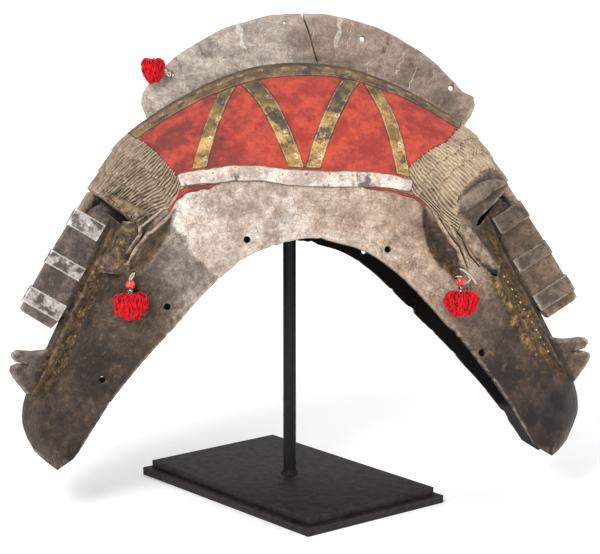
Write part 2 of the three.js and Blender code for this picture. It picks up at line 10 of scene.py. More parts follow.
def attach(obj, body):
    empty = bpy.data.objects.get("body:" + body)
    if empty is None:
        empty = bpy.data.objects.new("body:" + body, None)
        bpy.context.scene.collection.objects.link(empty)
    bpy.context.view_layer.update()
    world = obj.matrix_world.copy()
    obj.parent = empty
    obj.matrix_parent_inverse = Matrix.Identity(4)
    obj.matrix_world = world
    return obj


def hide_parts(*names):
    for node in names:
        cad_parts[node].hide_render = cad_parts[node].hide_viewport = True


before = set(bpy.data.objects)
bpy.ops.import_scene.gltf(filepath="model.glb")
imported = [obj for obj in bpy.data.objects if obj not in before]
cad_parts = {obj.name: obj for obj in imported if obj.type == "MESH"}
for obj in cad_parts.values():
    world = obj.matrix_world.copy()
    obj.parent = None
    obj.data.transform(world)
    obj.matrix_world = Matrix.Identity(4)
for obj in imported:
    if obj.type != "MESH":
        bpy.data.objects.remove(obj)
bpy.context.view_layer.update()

# Camera, floor and studio light
# A museum photograph: a long lens a little above the mask and a little to its left, a white paper
# sweep under the stand, one broad soft light from the front and weaker ones from the sides.
LENS_MM = 122.9
CAMERA_AT = (-0.2002, -2.0055, 0.6042)
CAMERA_PITCH = 10.8
CAMERA_TURN = 6.0

scene = bpy.context.scene
camera = bpy.data.objects.new("camera", bpy.data.cameras.new("camera"))
camera.data.lens = LENS_MM
camera.data.sensor_width = 36.0
camera.data.clip_end = 30.0
camera.location = CAMERA_AT
camera.rotation_euler = (math.radians(90 - CAMERA_PITCH), 0, math.radians(-CAMERA_TURN))
scene.collection.objects.link(camera)
scene.camera = camera
scene.view_settings.view_transform = "Standard"


def soft_light(name, place, aim, size, watts):
    light = bpy.data.lights.new(name, "AREA")
    light.size = size
    light.energy = watts
    lamp = bpy.data.objects.new(name, light)
    lamp.location = place
    lamp.rotation_euler = (Vector(aim) - Vector(place)).to_track_quat("-Z", "Y").to_euler()
    scene.collection.objects.link(lamp)


soft_light("front_light", (-1.0, -1.7, 1.7), (0, 0, 0.26), 1.0, 50)
soft_light("side_light", (1.8, -1.0, 1.0), (0, 0, 0.26), 1.2, 14)
soft_light("top_light", (0.1, 0.9, 2.2), (0, 0, 0.2), 1.4, 16)
sky = bpy.data.worlds.new("studio")
sky.use_nodes = True
sky.node_tree.nodes["Background"].inputs["Color"].default_value = (1, 1, 1, 1)
sky.node_tree.nodes["Background"].inputs["Strength"].default_value = 0.5
scene.world = sky

paper = bpy.data.materials.new("paper")
paper.use_nodes = True
paper.node_tree.nodes["Principled BSDF"].inputs["Base Color"].default_value = (0.9, 0.9, 0.9, 1)
paper.node_tree.nodes["Principled BSDF"].inputs["Roughness"].default_value = 0.9
# The far end of the sweep is lit on its own, so that it burns out to white
glow = paper.node_tree.nodes.new("ShaderNodeVectorMath")
glow.operation = "LENGTH"
away = paper.node_tree.nodes.new("ShaderNodeMapRange")
for name, value in (("From Min", 0.3), ("From Max", 2.4), ("To Min", 0.2), ("To Max", 0.65)):
    away.inputs[name].default_value = value
where = paper.node_tree.nodes.new("ShaderNodeTexCoord")
paper.node_tree.links.new(where.outputs["Object"], glow.inputs[0])
paper.node_tree.links.new(glow.outputs["Value"], away.inputs["Value"])
paper.node_tree.links.new(away.outputs[0], paper.node_tree.nodes["Principled BSDF"].inputs["Emission Strength"])
paper.node_tree.nodes["Principled BSDF"].inputs["Emission Color"].default_value = (1, 1, 1, 1)
bpy.ops.mesh.primitive_plane_add(size=40)
floor = bpy.context.object
floor.name = "floor"
floor.data.materials.append(paper)

# Carved body of the mask
# One block of light wood, adzed to a steep saddle that goes over the head, with a long face at each
# end. It leans back a little on its stand, so it is worked out in its own frame, in millimetres.
MASK_AT = Vector((11, 0, 248))
MASK_LEAN = math.radians(10.5)
# Place along the half arch, lower edge x and z, wall corner x and z, middle line x and z, half
# width, and the bow of the section from 1 for a round dome to 2 for a straight slope
DOME_STATIONS = np.array([
    [0.00, 0, 9.5, 0, 60, 0, 184, 90, 1.0],
    [0.12, 30, 4, 36, 60, 47, 179.5, 90.5, 1.0],
    [0.25, 58, -6, 73, 58, 95, 162, 91, 1.0],
    [0.38, 84, -25, 108, 48, 140, 137, 91, 1.0],
    [0.48, 100, -40, 132, 34, 176, 110, 90, 1.0],
    [0.56, 113, -54, 155, 19, 209, 62, 88, 1.0],
])
FACE_STATIONS = np.array([
    [0.575, 115, -56, 158, 14, 190, 33, 87, 1.6],
    [0.65, 133, -76, 174, -15, 208, -5, 83, 1.7],
    [0.72, 153, -97, 188, -38, 224, -36, 76, 1.7],
    [0.80, 172, -120, 206, -72, 243, -70, 66, 1.7],
    [0.88, 190, -142, 228, -108, 258, -100, 55, 1.7],
    [0.94, 206, -165, 248, -143, 275, -137, 44, 1.5],
    [0.975, 218, -184, 256, -174, 279, -168, 37, 1.3],
    [1.00, 228, -200, 245, -211, 268, -194, 31, 1.2],
])
BROW = 0.56
FACE_TOP = 0.575
# Where the hair starts, from the lower edge of the dome to its middle line
HAIR_LINE = {-1: ([1.0, 1.25, 1.7, 2.0], [0.40, 0.42, 0.462, 0.47]),
             1: ([1.0, 1.15, 1.45, 1.7, 2.0], [0.30, 0.322, 0.413, 0.44, 0.45])}
PLATE_HALF = 22
WALL = 14
ROOF_THICKNESS = 34
BROW_THICKNESS = 35
HOLLOW_END = 0.93

lean = Matrix.Rotation(-MASK_LEAN, 3, "X")


def standing(points):
    """From the mask's frame in millimetres to the stand's in metres."""
    return (np.asarray(points) @ np.array(lean).T + np.array(MASK_AT)) / 1000


def slopes(table):
    at = table[:, 0]
    rise = np.empty((len(table), 8))
    rise[1:-1] = (table[2:, 1:] - table[:-2, 1:]) / (at[2:] - at[:-2])[:, None]
    rise[0] = (table[1, 1:] - table[0, 1:]) / (at[1] - at[0])
    rise[-1] = (table[-1, 1:] - table[-2, 1:]) / (at[-1] - at[-2])
    if table is DOME_STATIONS:
        rise[0, [1, 3, 5, 6, 7]] = 0
    return rise


def stations(s):
    """The eight sizes of the section at each place along the half arch."""
    result = np.empty((len(s), 8))
    for table, here in ((DOME_STATIONS, s <= BROW), (FACE_STATIONS, s > BROW)):
        at = table[:, 0]
        place = np.clip(s[here], at[0], at[-1])
        i = np.clip(np.searchsorted(at, place, side="right") - 1, 0, len(at) - 2)
        span = (at[i + 1] - at[i])[:, None]
        u = (place[:, None] - at[i][:, None]) / span
        rise = slopes(table)
        result[here] = ((2 * u**3 - 3 * u**2 + 1) * table[i, 1:] + (u**3 - 2 * u**2 + u) * rise[i] * span
                        + (3 * u**2 - 2 * u**3) * table[i + 1, 1:] + (u**3 - u**2) * rise[i + 1] * span)
    return result


def outer(s, v):
    """Points of the outer surface, for places along the arch and across it, 0 to 4."""
    s, v = np.broadcast_arrays(np.asarray(s, float), np.asarray(v, float))
    shape = s.shape
    s, v = s.ravel(), v.ravel()
    in_x, in_z, side_x, side_z, out_x, out_z, half, bow = stations(np.abs(s)).T
    up = np.where(v > 2, 4 - v, v)
    angle = np.clip(up - 1, 0, 1) * math.pi / 2
    reach = np.sin(angle) ** bow
    low = np.minimum(up, 1)
    x = in_x + (side_x - in_x) * low + (out_x - side_x) * reach
    z = in_z + (side_z - in_z) * low + (out_z - side_z) * reach
    y = -half * np.maximum(np.cos(angle), 0) ** bow
    return np.stack([np.where(s < 0, -x, x), np.where(v > 2, -y, y), z], -1).reshape(*shape, 3)


def inner(s, v):
    """The same for the hollow."""
    s, v = np.broadcast_arrays(np.asarray(s, float), np.asarray(v, float))
    shape = s.shape
    s, v = s.ravel(), v.ravel()
    in_x, in_z, side_x, side_z, out_x, out_z, half, bow = stations(np.abs(s)).T
    end = smooth(np.abs(s), 0.7, HOLLOW_END)
    brow = np.where(np.abs(s) > BROW, 0, smooth(np.abs(s), 0.36, BROW))
    side_length = np.hypot(side_x - in_x, side_z - in_z)
    top_length = np.hypot(out_x - in_x, out_z - in_z)
    side_share = (side_length - WALL) * (1 - 0.6 * end) / side_length
    top_share = (top_length - ROOF_THICKNESS - BROW_THICKNESS * brow) * (1 - 0.6 * end) / top_length
    up = np.where(v > 2, 4 - v, v)
    angle = np.clip(up - 1, 0, 1) * math.pi / 2
    reach = np.sin(angle) ** bow
    low = np.minimum(up, 1)
    across = [(side - base) * side_share * low * (1 - reach) + (top - base) * top_share * reach + base
              for base, side, top in ((in_x, side_x, out_x), (in_z, side_z, out_z))]
    y = -(half - WALL) * np.maximum(np.cos(angle), 0) ** bow
    return np.stack([np.where(s < 0, -across[0], across[0]), np.where(v > 2, -y, y), across[1]],
                    -1).reshape(*shape, 3)


def smooth(value, low, high):
    share = np.clip((value - low) / (high - low), 0, 1)
    return share * share * (3 - 2 * share)


def facing(s, v, surface=outer):
    """Outward directions of a surface."""
    step = 0.004
    s, v = np.broadcast_arrays(np.asarray(s, float), np.asarray(v, float))
    v = np.clip(v, step, 4 - step)
    clear = np.where(np.abs(s) > BROW, np.clip(np.abs(s), FACE_TOP + step, 1 - step),
                     np.minimum(np.abs(s), BROW - step))
    s = np.where(s < 0, -clear, clear)
    along = surface(s + step, v) - surface(s - step, v)
    across = surface(s, v + step) - surface(s, v - step)
    normal = np.cross(along, across)
    return normal / np.maximum(np.linalg.norm(normal, axis=-1, keepdims=True), 1e-9)


def rough(points, size, seed=0):
    """Soft noise from about -1 to 1 at each point, with lumps of that size in millimetres."""
    flat = np.asarray(points).reshape(-1, 3) / size + seed * 17.3
    return np.array([noise.noise(p) for p in flat.tolist()]).reshape(np.shape(points)[:-1])


def quads(rows, columns, ring):
    """Faces over a grid of points; a ring closes each row on itself."""
    r, c = np.meshgrid(np.arange(rows - 1), np.arange(columns if ring else columns - 1), indexing="ij")
    n = (c + 1) % columns
    return np.stack([r * columns + c, r * columns + n, (r + 1) * columns + n, (r + 1) * columns + c],
                    -1).reshape(-1, 4).tolist()


def closed_loft(name, grid):
    """A closed mesh over a grid of rings, its ends filled, facing out."""
    rows, columns = grid.shape[:2]
    faces = quads(rows, columns, True)
    faces += [list(range(columns)), list(range((rows - 1) * columns, rows * columns))]
    return solid(name, grid.reshape(-1, 3), faces)


def solid(name, points, faces):
    mesh = bpy.data.meshes.new(name)
    mesh.from_pydata(np.asarray(points).tolist(), [], faces)
    work = bmesh.new()
    work.from_mesh(mesh)
    bmesh.ops.triangulate(work, faces=[f for f in work.faces if len(f.verts) > 4])
    bmesh.ops.recalc_face_normals(work, faces=work.faces)
    work.to_mesh(mesh)
    work.free()
    thing = bpy.data.objects.new(name, mesh)
    scene.collection.objects.link(thing)
    return thing


def carve(body, tools, how):
    """Joins tools to the body or cuts them out of it, and throws them away."""
    for tool in tools:
        step = body.modifiers.new(how, "BOOLEAN")
        step.solver = "MANIFOLD"
        step.operation = how
        step.object = tool
        graph = bpy.context.evaluated_depsgraph_get()
        mesh = bpy.data.meshes.new_from_object(body.evaluated_get(graph))
        body.modifiers.clear()
        body.data = mesh
        bpy.data.objects.remove(tool)
    return body


def merged(name, things):
    """Several meshes that don't touch, as one."""
    points, faces = [], []
    for thing in things:
        start = len(points)
        points += [v.co[:] for v in thing.data.vertices]
        faces += [[start + n for n in p.vertices] for p in thing.data.polygons]
        bpy.data.objects.remove(thing)
    mesh = bpy.data.meshes.new(name)
    mesh.from_pydata(points, [], faces)
    thing = bpy.data.objects.new(name, mesh)
    scene.collection.objects.link(thing)
    return thing


def hair_start(side, v):
    """Where the hair begins along the arch, at each height on the dome."""
    return np.interp(np.where(v > 2, 4 - v, v), *HAIR_LINE[side])


# Where the hair ends towards the brow, at each height, and its lower edge, at each place along
HAIR_END = {-1: ([1.0, 2.0], [BROW, BROW]),
            1: ([0.85, 0.93, 0.98, 1.05, 1.12, 1.2, 1.55, 1.75, 1.9, 2.0],
                [0.534, 0.537, 0.525, 0.505, 0.492, 0.494, 0.518, 0.545, 0.56, 0.56])}
HAIR_FOOT = {-1: ([0.40, 0.43, 0.476, 0.56], [1.14, 1.08, 1.04, 1.12]),
             1: ([0.30, 0.36, 0.392, 0.455, 0.497, 0.53], [1.08, 0.98, 0.95, 0.885, 0.855, 0.85])}


# How long the arch and how high the wall is for each 1 of s and v, in millimetres
WALL_SCALE = (369, 82)


def furrow(s, v, path):
    """A smooth leaf-shaped dip in the wall along a path of [s, v, half width, depth], in millimetres."""
    here = np.stack([s * WALL_SCALE[0], v * WALL_SCALE[1]], -1)
    depth = np.zeros(s.shape)
    path = np.array(path)
    for start, end in zip(path, path[1:]):
        a, b = start[:2] * WALL_SCALE, end[:2] * WALL_SCALE
        share = np.clip(((here - a) @ (b - a)) / ((b - a) @ (b - a)), 0, 1)
        off = np.linalg.norm(here - a - share[..., None] * (b - a), axis=-1)
        width, low = [start[n] + (end[n] - start[n]) * share for n in (2, 3)]
        depth = np.maximum(depth, low * np.clip(1 - (off / width) ** 2, 0, 1) ** 1.3)
    return depth


# Hollow of each ear, as [s, v, half width, depth]
EAR_HOLLOWS = {
    -1: [(0.485, 0.97, 3, 1.5), (0.52, 0.89, 8, 5), (0.565, 0.85, 10, 7), (0.61, 0.87, 8.5, 6.5), (0.645, 0.94, 5, 4),
         (0.662, 1.0, 2, 1.5)],
    1: [(0.40, 0.90, 3, 1.5), (0.435, 0.755, 10, 5), (0.49, 0.63, 15, 8), (0.548, 0.555, 14.5, 8),
        (0.597, 0.54, 9, 5.5), (0.625, 0.56, 3, 1.5)],
}


# The worn, darker ground below the right ear, in the same way
EAR_SHADE = [(0.385, 0.80, 6, 0.6), (0.434, 0.62, 15, 1), (0.49, 0.54, 19, 1), (0.56, 0.50, 17, 1),
             (0.61, 0.50, 9, 0.6)]


def trough(s, v, points):
    """How far each point lies in the sunk part of a face, beside its middle plate, 0 to 1."""
    half = stations(np.abs(s).ravel())[:, 6].reshape(np.shape(s))
    across = np.abs(points[..., 1])
    depth = smooth(across, PLATE_HALF, PLATE_HALF + 2.5) * smooth(half - across, 1.0, 9.0)
    depth *= smooth(np.abs(s), FACE_TOP, FACE_TOP + 0.01) * (1 - smooth(np.abs(s), 0.9, 0.95))
    ridge = np.interp(np.abs(s), [0.60, 0.68, 0.77, 0.86, 0.92], [1.12, 1.30, 1.38, 1.28, 1.1])
    depth *= np.where(s < 0, smooth(np.minimum(v, 4 - v), ridge - 0.03, ridge + 0.09), 1)
    return np.where((v > 1) & (v < 3), depth, 0)


# Places along one half of the arch: coarse under the cloth, fine at the ears and over the face
half_rows = np.concatenate([np.linspace(0, 0.40, 27)[1:-1], np.linspace(0.40, BROW, 32),
                            np.linspace(FACE_TOP, 1, 80)])
row_places = np.concatenate([-half_rows[::-1], [0], half_rows])
wall_columns = np.linspace(0, 1, 32)
column_places = np.concatenate([wall_columns, np.linspace(1, 3, 99)[1:-1], 4 - wall_columns[::-1]])
grid_s, grid_v = np.meshgrid(row_places, column_places, indexing="ij")
body_grid = outer(grid_s, grid_v)
body_facing = facing(grid_s, grid_v)
up_v = np.minimum(grid_v, 4 - grid_v)
ear_dip = sum(np.where(grid_s * side > 0, furrow(np.abs(grid_s), up_v, EAR_HOLLOWS[side]), 0) for side in (-1, 1))
chips = np.clip(rough(body_grid, 11, 2) - 0.34, 0, 1) * 9 + np.clip(rough(body_grid, 5, 9) - 0.3, 0, 1) * 3
edge_wear = 1.1 * np.abs(rough(body_grid, 38, 1)) + chips
near_edge = 1 - smooth(up_v, 0, 0.16)
sections = stations(np.abs(row_places))
down = np.stack([sections[:, 0] - sections[:, 2], 0 * row_places, sections[:, 1] - sections[:, 3]], -1)
down /= np.linalg.norm(down, axis=1, keepdims=True)
down[:, 0] *= np.sign(row_places)
adzed = np.array([noise.voronoi(p)[0][0] for p in (body_grid.reshape(-1, 3) / 24).tolist()]).reshape(grid_s.shape)
relief = (-3.2 * trough(grid_s, grid_v, body_grid) + 0.55 * rough(body_grid, 26, 3) + 0.28 * rough(body_grid, 8, 4)
          + 1.3 * (adzed**2 - 0.15) * smooth(0.98 - up_v, 0, 0.1) - ear_dip)
body_grid = body_grid + body_facing * relief[..., None] - down[:, None, :] * (near_edge * edge_wear)[..., None]
UNDERSIDE = 7
UNDERSIDE_BULGE = 0.8
across = np.linspace(0, 1, UNDERSIDE + 2)[1:-1][None, :, None]
underside = body_grid[:, -1:] * (1 - across) + body_grid[:, :1] * across
mask = closed_loft("carved-mask", np.concatenate([body_grid, underside + down[:, None, :] * UNDERSIDE_BULGE], 1))

# Hollow, gouged out from below to the shape of a head, and on into each face
hollow_s, hollow_v = np.meshgrid(np.linspace(-HOLLOW_END, HOLLOW_END, 81),
                                 np.concatenate([[0, 0.5], np.linspace(1, 3, 29), [3.5, 4]]), indexing="ij")
hollow_grid = inner(hollow_s, hollow_v) + facing(hollow_s, hollow_v, inner) * (
    0.7 * rough(inner(hollow_s, hollow_v), 16, 5))[..., None]
hollow_sections = stations(np.abs(hollow_s[:, 0]))
hollow_down = np.stack([hollow_sections[:, 0] - hollow_sections[:, 2], 0 * hollow_s[:, 0],
                        hollow_sections[:, 1] - hollow_sections[:, 3]], -1)
hollow_down *= 14 / np.linalg.norm(hollow_down, axis=1, keepdims=True)
hollow_down[:, 0] *= np.where(hollow_s[:, 0] < 0, -1, 1)
for edge in (0, -1):
    hollow_grid[:, edge] += hollow_down
hollow = closed_loft("hollow", hollow_grid)

# Hair: three overlapping tiers over each brow, cut in narrow wavy locks
# The locks run along the arch, and each tier ends in a ragged step over the next one.
TIERS = 3
LOCKS = 38
LOCK_COLUMNS = 3


def hair_tier(side, tier):
    columns = 2 * LOCKS * LOCK_COLUMNS
    lock = np.arange(columns + 1) // LOCK_COLUMNS
    draw = random.Random(100 * tier + 10 + side)
    ragged = np.array([draw.uniform(-0.008, 0.004) for _ in range(2 * LOCKS + 1)])[lock]
    deep = np.array([draw.uniform(0.7, 1.3) for _ in range(2 * LOCKS + 1)])[lock][None, :]
    if tier == TIERS - 1:
        ragged = ragged * 0.3 - 0.001
    rows = 10
    share = np.linspace(0, 1, rows)[:, None]
    s = 0.5 + 0 * share
    for _ in range(4):
        foot = np.interp(s, *HAIR_FOOT[side])
        v = foot + (4 - 2 * foot) * np.arange(columns + 1)[None, :] / columns
        start, end = hair_start(side, v), np.interp(np.minimum(v, 4 - v), *HAIR_END[side])
        length = (end - start) / TIERS
        s = start + tier * length - 0.008 + share * (length + 0.008 + ragged[None, :])
    sway = 0.004 * np.sin(7 * share + tier * 2.1 + 1.7 * lock[None, :])
    v = v + sway * smooth(v, 1.03, 1.15) * (1 - smooth(v, 2.85, 2.97))
    groove = (np.arange(columns + 1) % LOCK_COLUMNS == 0)[None, :]
    lift = 0.5 + 2.3 * share**0.8 - groove * 2.5 * deep
    lift = lift + 0.35 * np.sin(3.7 * lock[None, :] + tier)
    top = outer(side * s, v) + facing(side * s, v) * lift[..., None]
    bottom = outer(side * s, v) - facing(side * s, v) * 4
    grid = np.concatenate([top, bottom[:, ::-1]], axis=1)
    return closed_loft(f"hair_{side}_{tier}", grid)


for tier in range(TIERS):
    carve(mask, [merged("hair", [hair_tier(side, tier) for side in (-1, 1)])], "UNION")

# Crest plank, noses and mouths, carved from the same block
# Each is a flat board with worn edges. The crest has four holes, a split from its top edge and a
# mended left tip.
CREST_THICKNESS = 12
CREST_RADIUS = 205
CREST_CENTRE = (4, 30)
CREST_HOLES = [(-125, 175), (-12, 226), (66, 209), (155, 159)]
CREST_HOLE_RADII = (1.9, 1.7, 2.8, 2.8)
SPLIT = [(5.6, 235, 2.8), (6.6, 230.5, 1.5), (8.4, 226, 0.7), (11.2, 219, 0.5), (13.6, 211, 0.6), (16.8, 198, 0.45),
         (19.5, 188, 0.4)]


def board(name, outline, half_thickness, holes=(), spacing=3.0, rounding=2.2, seed=0, waviness=0.5):
    """A flat board in X and Z, its outline and holes given as points, with rounded edges."""
    loops = [densify(outline, spacing)] + [densify(hole, 1.2) for hole in holes]
    border = np.concatenate(loops)
    segments = []
    start = 0
    for loop in loops:
        segments += [(start + i, start + (i + 1) % len(loop)) for i in range(len(loop))]
        start += len(loop)
    xs = np.arange(border[:, 0].min(), border[:, 0].max(), spacing)
    zs = np.arange(border[:, 1].min(), border[:, 1].max(), spacing)
    draw = np.random.default_rng(seed)
    field = np.stack(np.meshgrid(xs, zs), -1).reshape(-1, 2)
    field = field + draw.uniform(-0.3, 0.3, field.shape) * spacing
    inset = np.concatenate([inset_ring(loop, rounding * share) for loop in loops for share in (0.35, 1.0)])
    field = field[border_distance(field, loops) > rounding + spacing * 0.45]
    inset = inset[border_distance(inset, loops) > rounding * 0.3]
    field = np.concatenate([inset, field])
    field = field[inside(field, loops)]
    spots = [Vector(p) for p in np.concatenate([border, field]).tolist()]
    found = geometry.delaunay_2d_cdt(spots, segments, [], 0, 1e-5)
    flat = np.array([p[:] for p in found[0]])
    triangles = [list(f) for f in found[2]]
    middles = np.array([flat[t].mean(axis=0) for t in triangles])
    keep = inside(middles, loops)
    triangles = [t for t, k in zip(triangles, keep) if k]
    depth = border_distance(flat, loops)
    round_off = 1 - np.clip(depth / rounding, 0, 1)
    drop = rounding * 0.8 * (1 - np.sqrt(np.maximum(1 - round_off**2, 0)))
    count = len(flat)
    points = np.zeros((2 * count, 3))
    for face, sign in ((0, -1), (1, 1)):
        part = points[face * count:(face + 1) * count]
        part[:, 0], part[:, 2] = flat[:, 0], flat[:, 1]
        flat3 = np.stack([flat[:, 0], np.full(count, 40.0 * sign), flat[:, 1]], -1)
        wave = waviness * (rough(flat3, 17, seed) + 0.5 * rough(flat3, 6, seed + 1))
        part[:, 1] = sign * (half_thickness - drop + np.clip(wave, -0.9, 0.3) * np.clip(depth / 2, 0, 1))
    faces = [t for t in triangles] + [[n + count for n in reversed(t)] for t in triangles]
    uses = {}
    for t in triangles:
        for a, b in ((t[0], t[1]), (t[1], t[2]), (t[2], t[0])):
            uses[(a, b)] = True
    faces += [[b, a, a + count, b + count] for a, b in uses if (b, a) not in uses]
    return solid(name, points, faces)


def densify(loop, spacing):
    """Points along a closed outline, no further apart than the spacing."""
    loop = np.asarray(loop, float)
    result = []
    for a, b in zip(loop, np.roll(loop, -1, axis=0)):
        steps = max(1, math.ceil(np.linalg.norm(b - a) / spacing))
        result += [a + (b - a) * i / steps for i in range(steps)]
    return np.array(result)


def border_distance(points, loops):
    """The distance from each point to the nearest border."""
    best = np.full(len(points), 1e9)
    for loop in loops:
        for a, b in zip(loop, np.roll(loop, -1, axis=0)):
            along = b - a
            share = np.clip(((points - a) @ along) / max(along @ along, 1e-9), 0, 1)
            best = np.minimum(best, np.linalg.norm(points - a - share[:, None] * along, axis=1))
    return best


def inset_ring(loop, distance):
    """The outline moved inwards to both sides of each point; points outside are dropped later."""
    along = np.roll(loop, -1, axis=0) - np.roll(loop, 1, axis=0)
    normal = np.stack([-along[:, 1], along[:, 0]], -1)
    normal /= np.maximum(np.linalg.norm(normal, axis=1, keepdims=True), 1e-9)
    return np.concatenate([loop + normal * distance, loop - normal * distance])


def inside(points, loops):
    """Whether each point lies inside the first loop and outside the others."""
    odd = np.zeros(len(points), bool)
    for loop in loops:
        for a, b in zip(loop, np.roll(loop, -1, axis=0)):
            spans = (a[1] > points[:, 1]) != (b[1] > points[:, 1])
            reach = a[0] + (points[:, 1] - a[1]) * (b[0] - a[0]) / (b[1] - a[1] if b[1] != a[1] else 1e-9)
            odd ^= spans & (points[:, 0] < reach)
    return odd


def circle(x, z, radius, sides=14):
    return [(x + radius * math.cos(2 * math.pi * i / sides), z + radius * math.sin(2 * math.pi * i / sides))
            for i in range(sides)]


def crest_outline():
    cx, cz = CREST_CENTRE
    draw = random.Random(4)
    top = []
    for i in range(61):
        angle = 2.40 + (0.66 - 2.40) * i / 60
        radius = CREST_RADIUS + draw.uniform(-0.4, 0.3) + 0.35 * math.sin(angle * 23)
        top.append((cx + radius * math.cos(angle), cz + radius * math.sin(angle)))
    before = [p for p in top if p[0] < SPLIT[0][0] - 3]
    after = [p for p in top if p[0] > SPLIT[0][0] + 3]
    split = [(x - w / 2, z) for x, z, w in SPLIT] + [(x + w / 2, z) for x, z, w in reversed(SPLIT)]
    return [(-146, 118), (-152, 136), (-156, 147), (-154.5, 157)] + before + split + after + [
        (177.5, 150), (179, 141), (175, 131), (169, 123), (158, 106), (100, 126), (50, 146), (0, 152),
        (-60, 143), (-110, 122)]


crest = board("crest", crest_outline(), CREST_THICKNESS / 2 - 0.4,
              [circle(x, z, radius) for (x, z), radius in zip(CREST_HOLES, CREST_HOLE_RADII)], 3.4, 2.6, 7, 1.0)
carve(mask, [crest], "UNION")

# Noses: long slabs that run straight on from the brow
NOSE_HALF = 9
NOSE_FRONT = [(211, 60), (244, 8), (279, -53)]
MOUTH_HALF = 16


def mirrored(outline, side):
    return [(x * side, z) for x, z in outline]


def nose(side):
    outline = [(190, 60)] + NOSE_FRONT + [(276, -57), (249, -74), (214, -40), (182, 30)]
    return board("nose", mirrored(outline, side), NOSE_HALF, (), 3.2, 1.8, 20 + side, 0.35)


def mouth(side):
    outline = [(244, -90), (257, -95), (270, -96), (285, -94.5), (288, -97), (288.5, -100), (285, -105),
               (272, -108.8), (284, -108), (289.5, -110), (290.5, -114), (287, -121), (280, -130), (274, -138),
               (255, -142)]
    return board("mouth", mirrored(outline, side), MOUTH_HALF, (), 2.6, 3.0, 30 + side, 0.5)


def eye(side, near):
    """A half-round block under the brow that narrows to its lower end."""
    levels = np.array([[27, 157, 178, 86, 49], [20, 159, 182, 86, 49.5], [4, 165, 191, 85, 52],
                       [-8, 169.5, 198, 83.5, 55], [-17, 173, 200.5, 82, 58], [-22, 175, 198, 81, 60],
                       [-23.5, 178, 194, 79, 63]])
    rows = 34
    at = np.linspace(0, len(levels) - 1, rows)
    sizes = np.array([np.interp(at, np.arange(len(levels)), levels[:, n]) for n in range(5)])
    turn = np.linspace(-math.pi / 2, math.pi / 2, 17)
    rings = []
    for z, back, front, outside, inside_y in sizes.T:
        middle, half = (outside + inside_y) / 2, (outside - inside_y) / 2
        y = middle + half * np.sign(np.sin(turn)) * np.abs(np.sin(turn)) ** 0.8
        x = back + (front - back) * np.abs(np.cos(turn)) ** 0.55
        ring = np.stack([x * side, -y * near, np.full(17, z) + 2.0 * (x - back) / 20], -1)
        rings.append(ring)
    grid = np.array(rings)
    grid += 0.4 * rough(grid, 7, 41)[..., None]
    return closed_loft("eye", grid)


def bar(side, near, path, name):
    """A rounded bar that lies on the surface along a path of [s, v, half width, height]."""
    path = np.array(path)
    at = np.linspace(0, len(path) - 1, 8 * len(path))
    s, v, half, height = [np.interp(at, np.arange(len(path)), path[:, n]) for n in range(4)]
    share = np.clip((s - BROW) / (FACE_TOP - BROW), 0, 1)[:, None]
    middle = (outer(side * np.minimum(s, BROW), v) * (1 - share)
              + outer(side * np.maximum(s, FACE_TOP), v) * share * (s > BROW)[:, None])
    out = facing(side * s, v)
    along = np.gradient(middle, axis=0)
    along /= np.linalg.norm(along, axis=1, keepdims=True)
    sideways = np.cross(out, along)
    rings = []
    for angle in np.linspace(0, 2 * math.pi, 15)[:-1]:
        up = math.sin(angle)
        lift = height * up**1.3 if up > 0 else 3.5 * up
        rings.append(middle + sideways * (half * math.cos(angle))[:, None] + out * np.broadcast_to(
            lift, half.shape)[:, None])
    grid = np.stack(rings, 1)
    grid += 0.35 * rough(grid, 6, 43)[..., None] * out[:, None, :]
    return closed_loft(name, grid * (1, near, 1))


# The rims of the ears, the brow's front edge and the right face's eyes, as [s, v, half width, height]
EAR_RIMS = {
    -1: [(0.462, 1.03, 1.2, 1), (0.50, 0.99, 1.8, 3.5), (0.545, 0.965, 2.1, 5), (0.58, 0.985, 2.1, 5.5),
         (0.615, 1.03, 1.8, 4.5), (0.645, 1.06, 1.0, 2)],
    1: [(0.43, 0.93, 1.2, 1), (0.455, 0.87, 1.9, 3.5), (0.483, 0.81, 2.2, 5.5), (0.532, 0.725, 2.3, 6),
        (0.585, 0.675, 2.2, 5.5), (0.616, 0.645, 1.6, 3)],
}
EYE_RIMS = {
    -1: [(0.47, 1.07, 1.2, 1), (0.51, 1.065, 1.7, 3), (0.56, 1.06, 1.9, 4.5), (0.589, 1.11, 2.0, 6),
         (0.62, 1.155, 2.1, 6), (0.655, 1.185, 1.2, 4)],
    1: [(0.48, 0.95, 1.2, 1), (0.50, 0.90, 1.7, 2.5), (0.532, 0.815, 2.1, 3.5), (0.56, 0.775, 2.0, 3.5),
        (0.597, 0.74, 1.7, 3), (0.617, 0.71, 1.0, 1.5)],
}
BROW_ROLLS = {
    -1: [(0.525, 1.10, 3, 1), (0.542, 1.17, 6, 4.5), (0.547, 1.3, 6, 4), (0.55, 1.45, 4, 3.5), (0.553, 1.6, 2, 2)],
    1: [(0.502, 1.02, 3, 2), (0.515, 1.12, 8, 4.5), (0.525, 1.26, 9, 6), (0.535, 1.42, 7, 5), (0.548, 1.6, 4, 4),
        (0.553, 1.75, 2, 2)],
}
RIGHT_EYE = [(0.538, 0.90, 3.5, 4), (0.56, 0.92, 6, 7.5), (0.60, 0.94, 7.2, 9.5), (0.64, 0.975, 6.8, 10.5),
             (0.672, 1.005, 5.2, 9.5), (0.688, 1.02, 2.5, 5)]
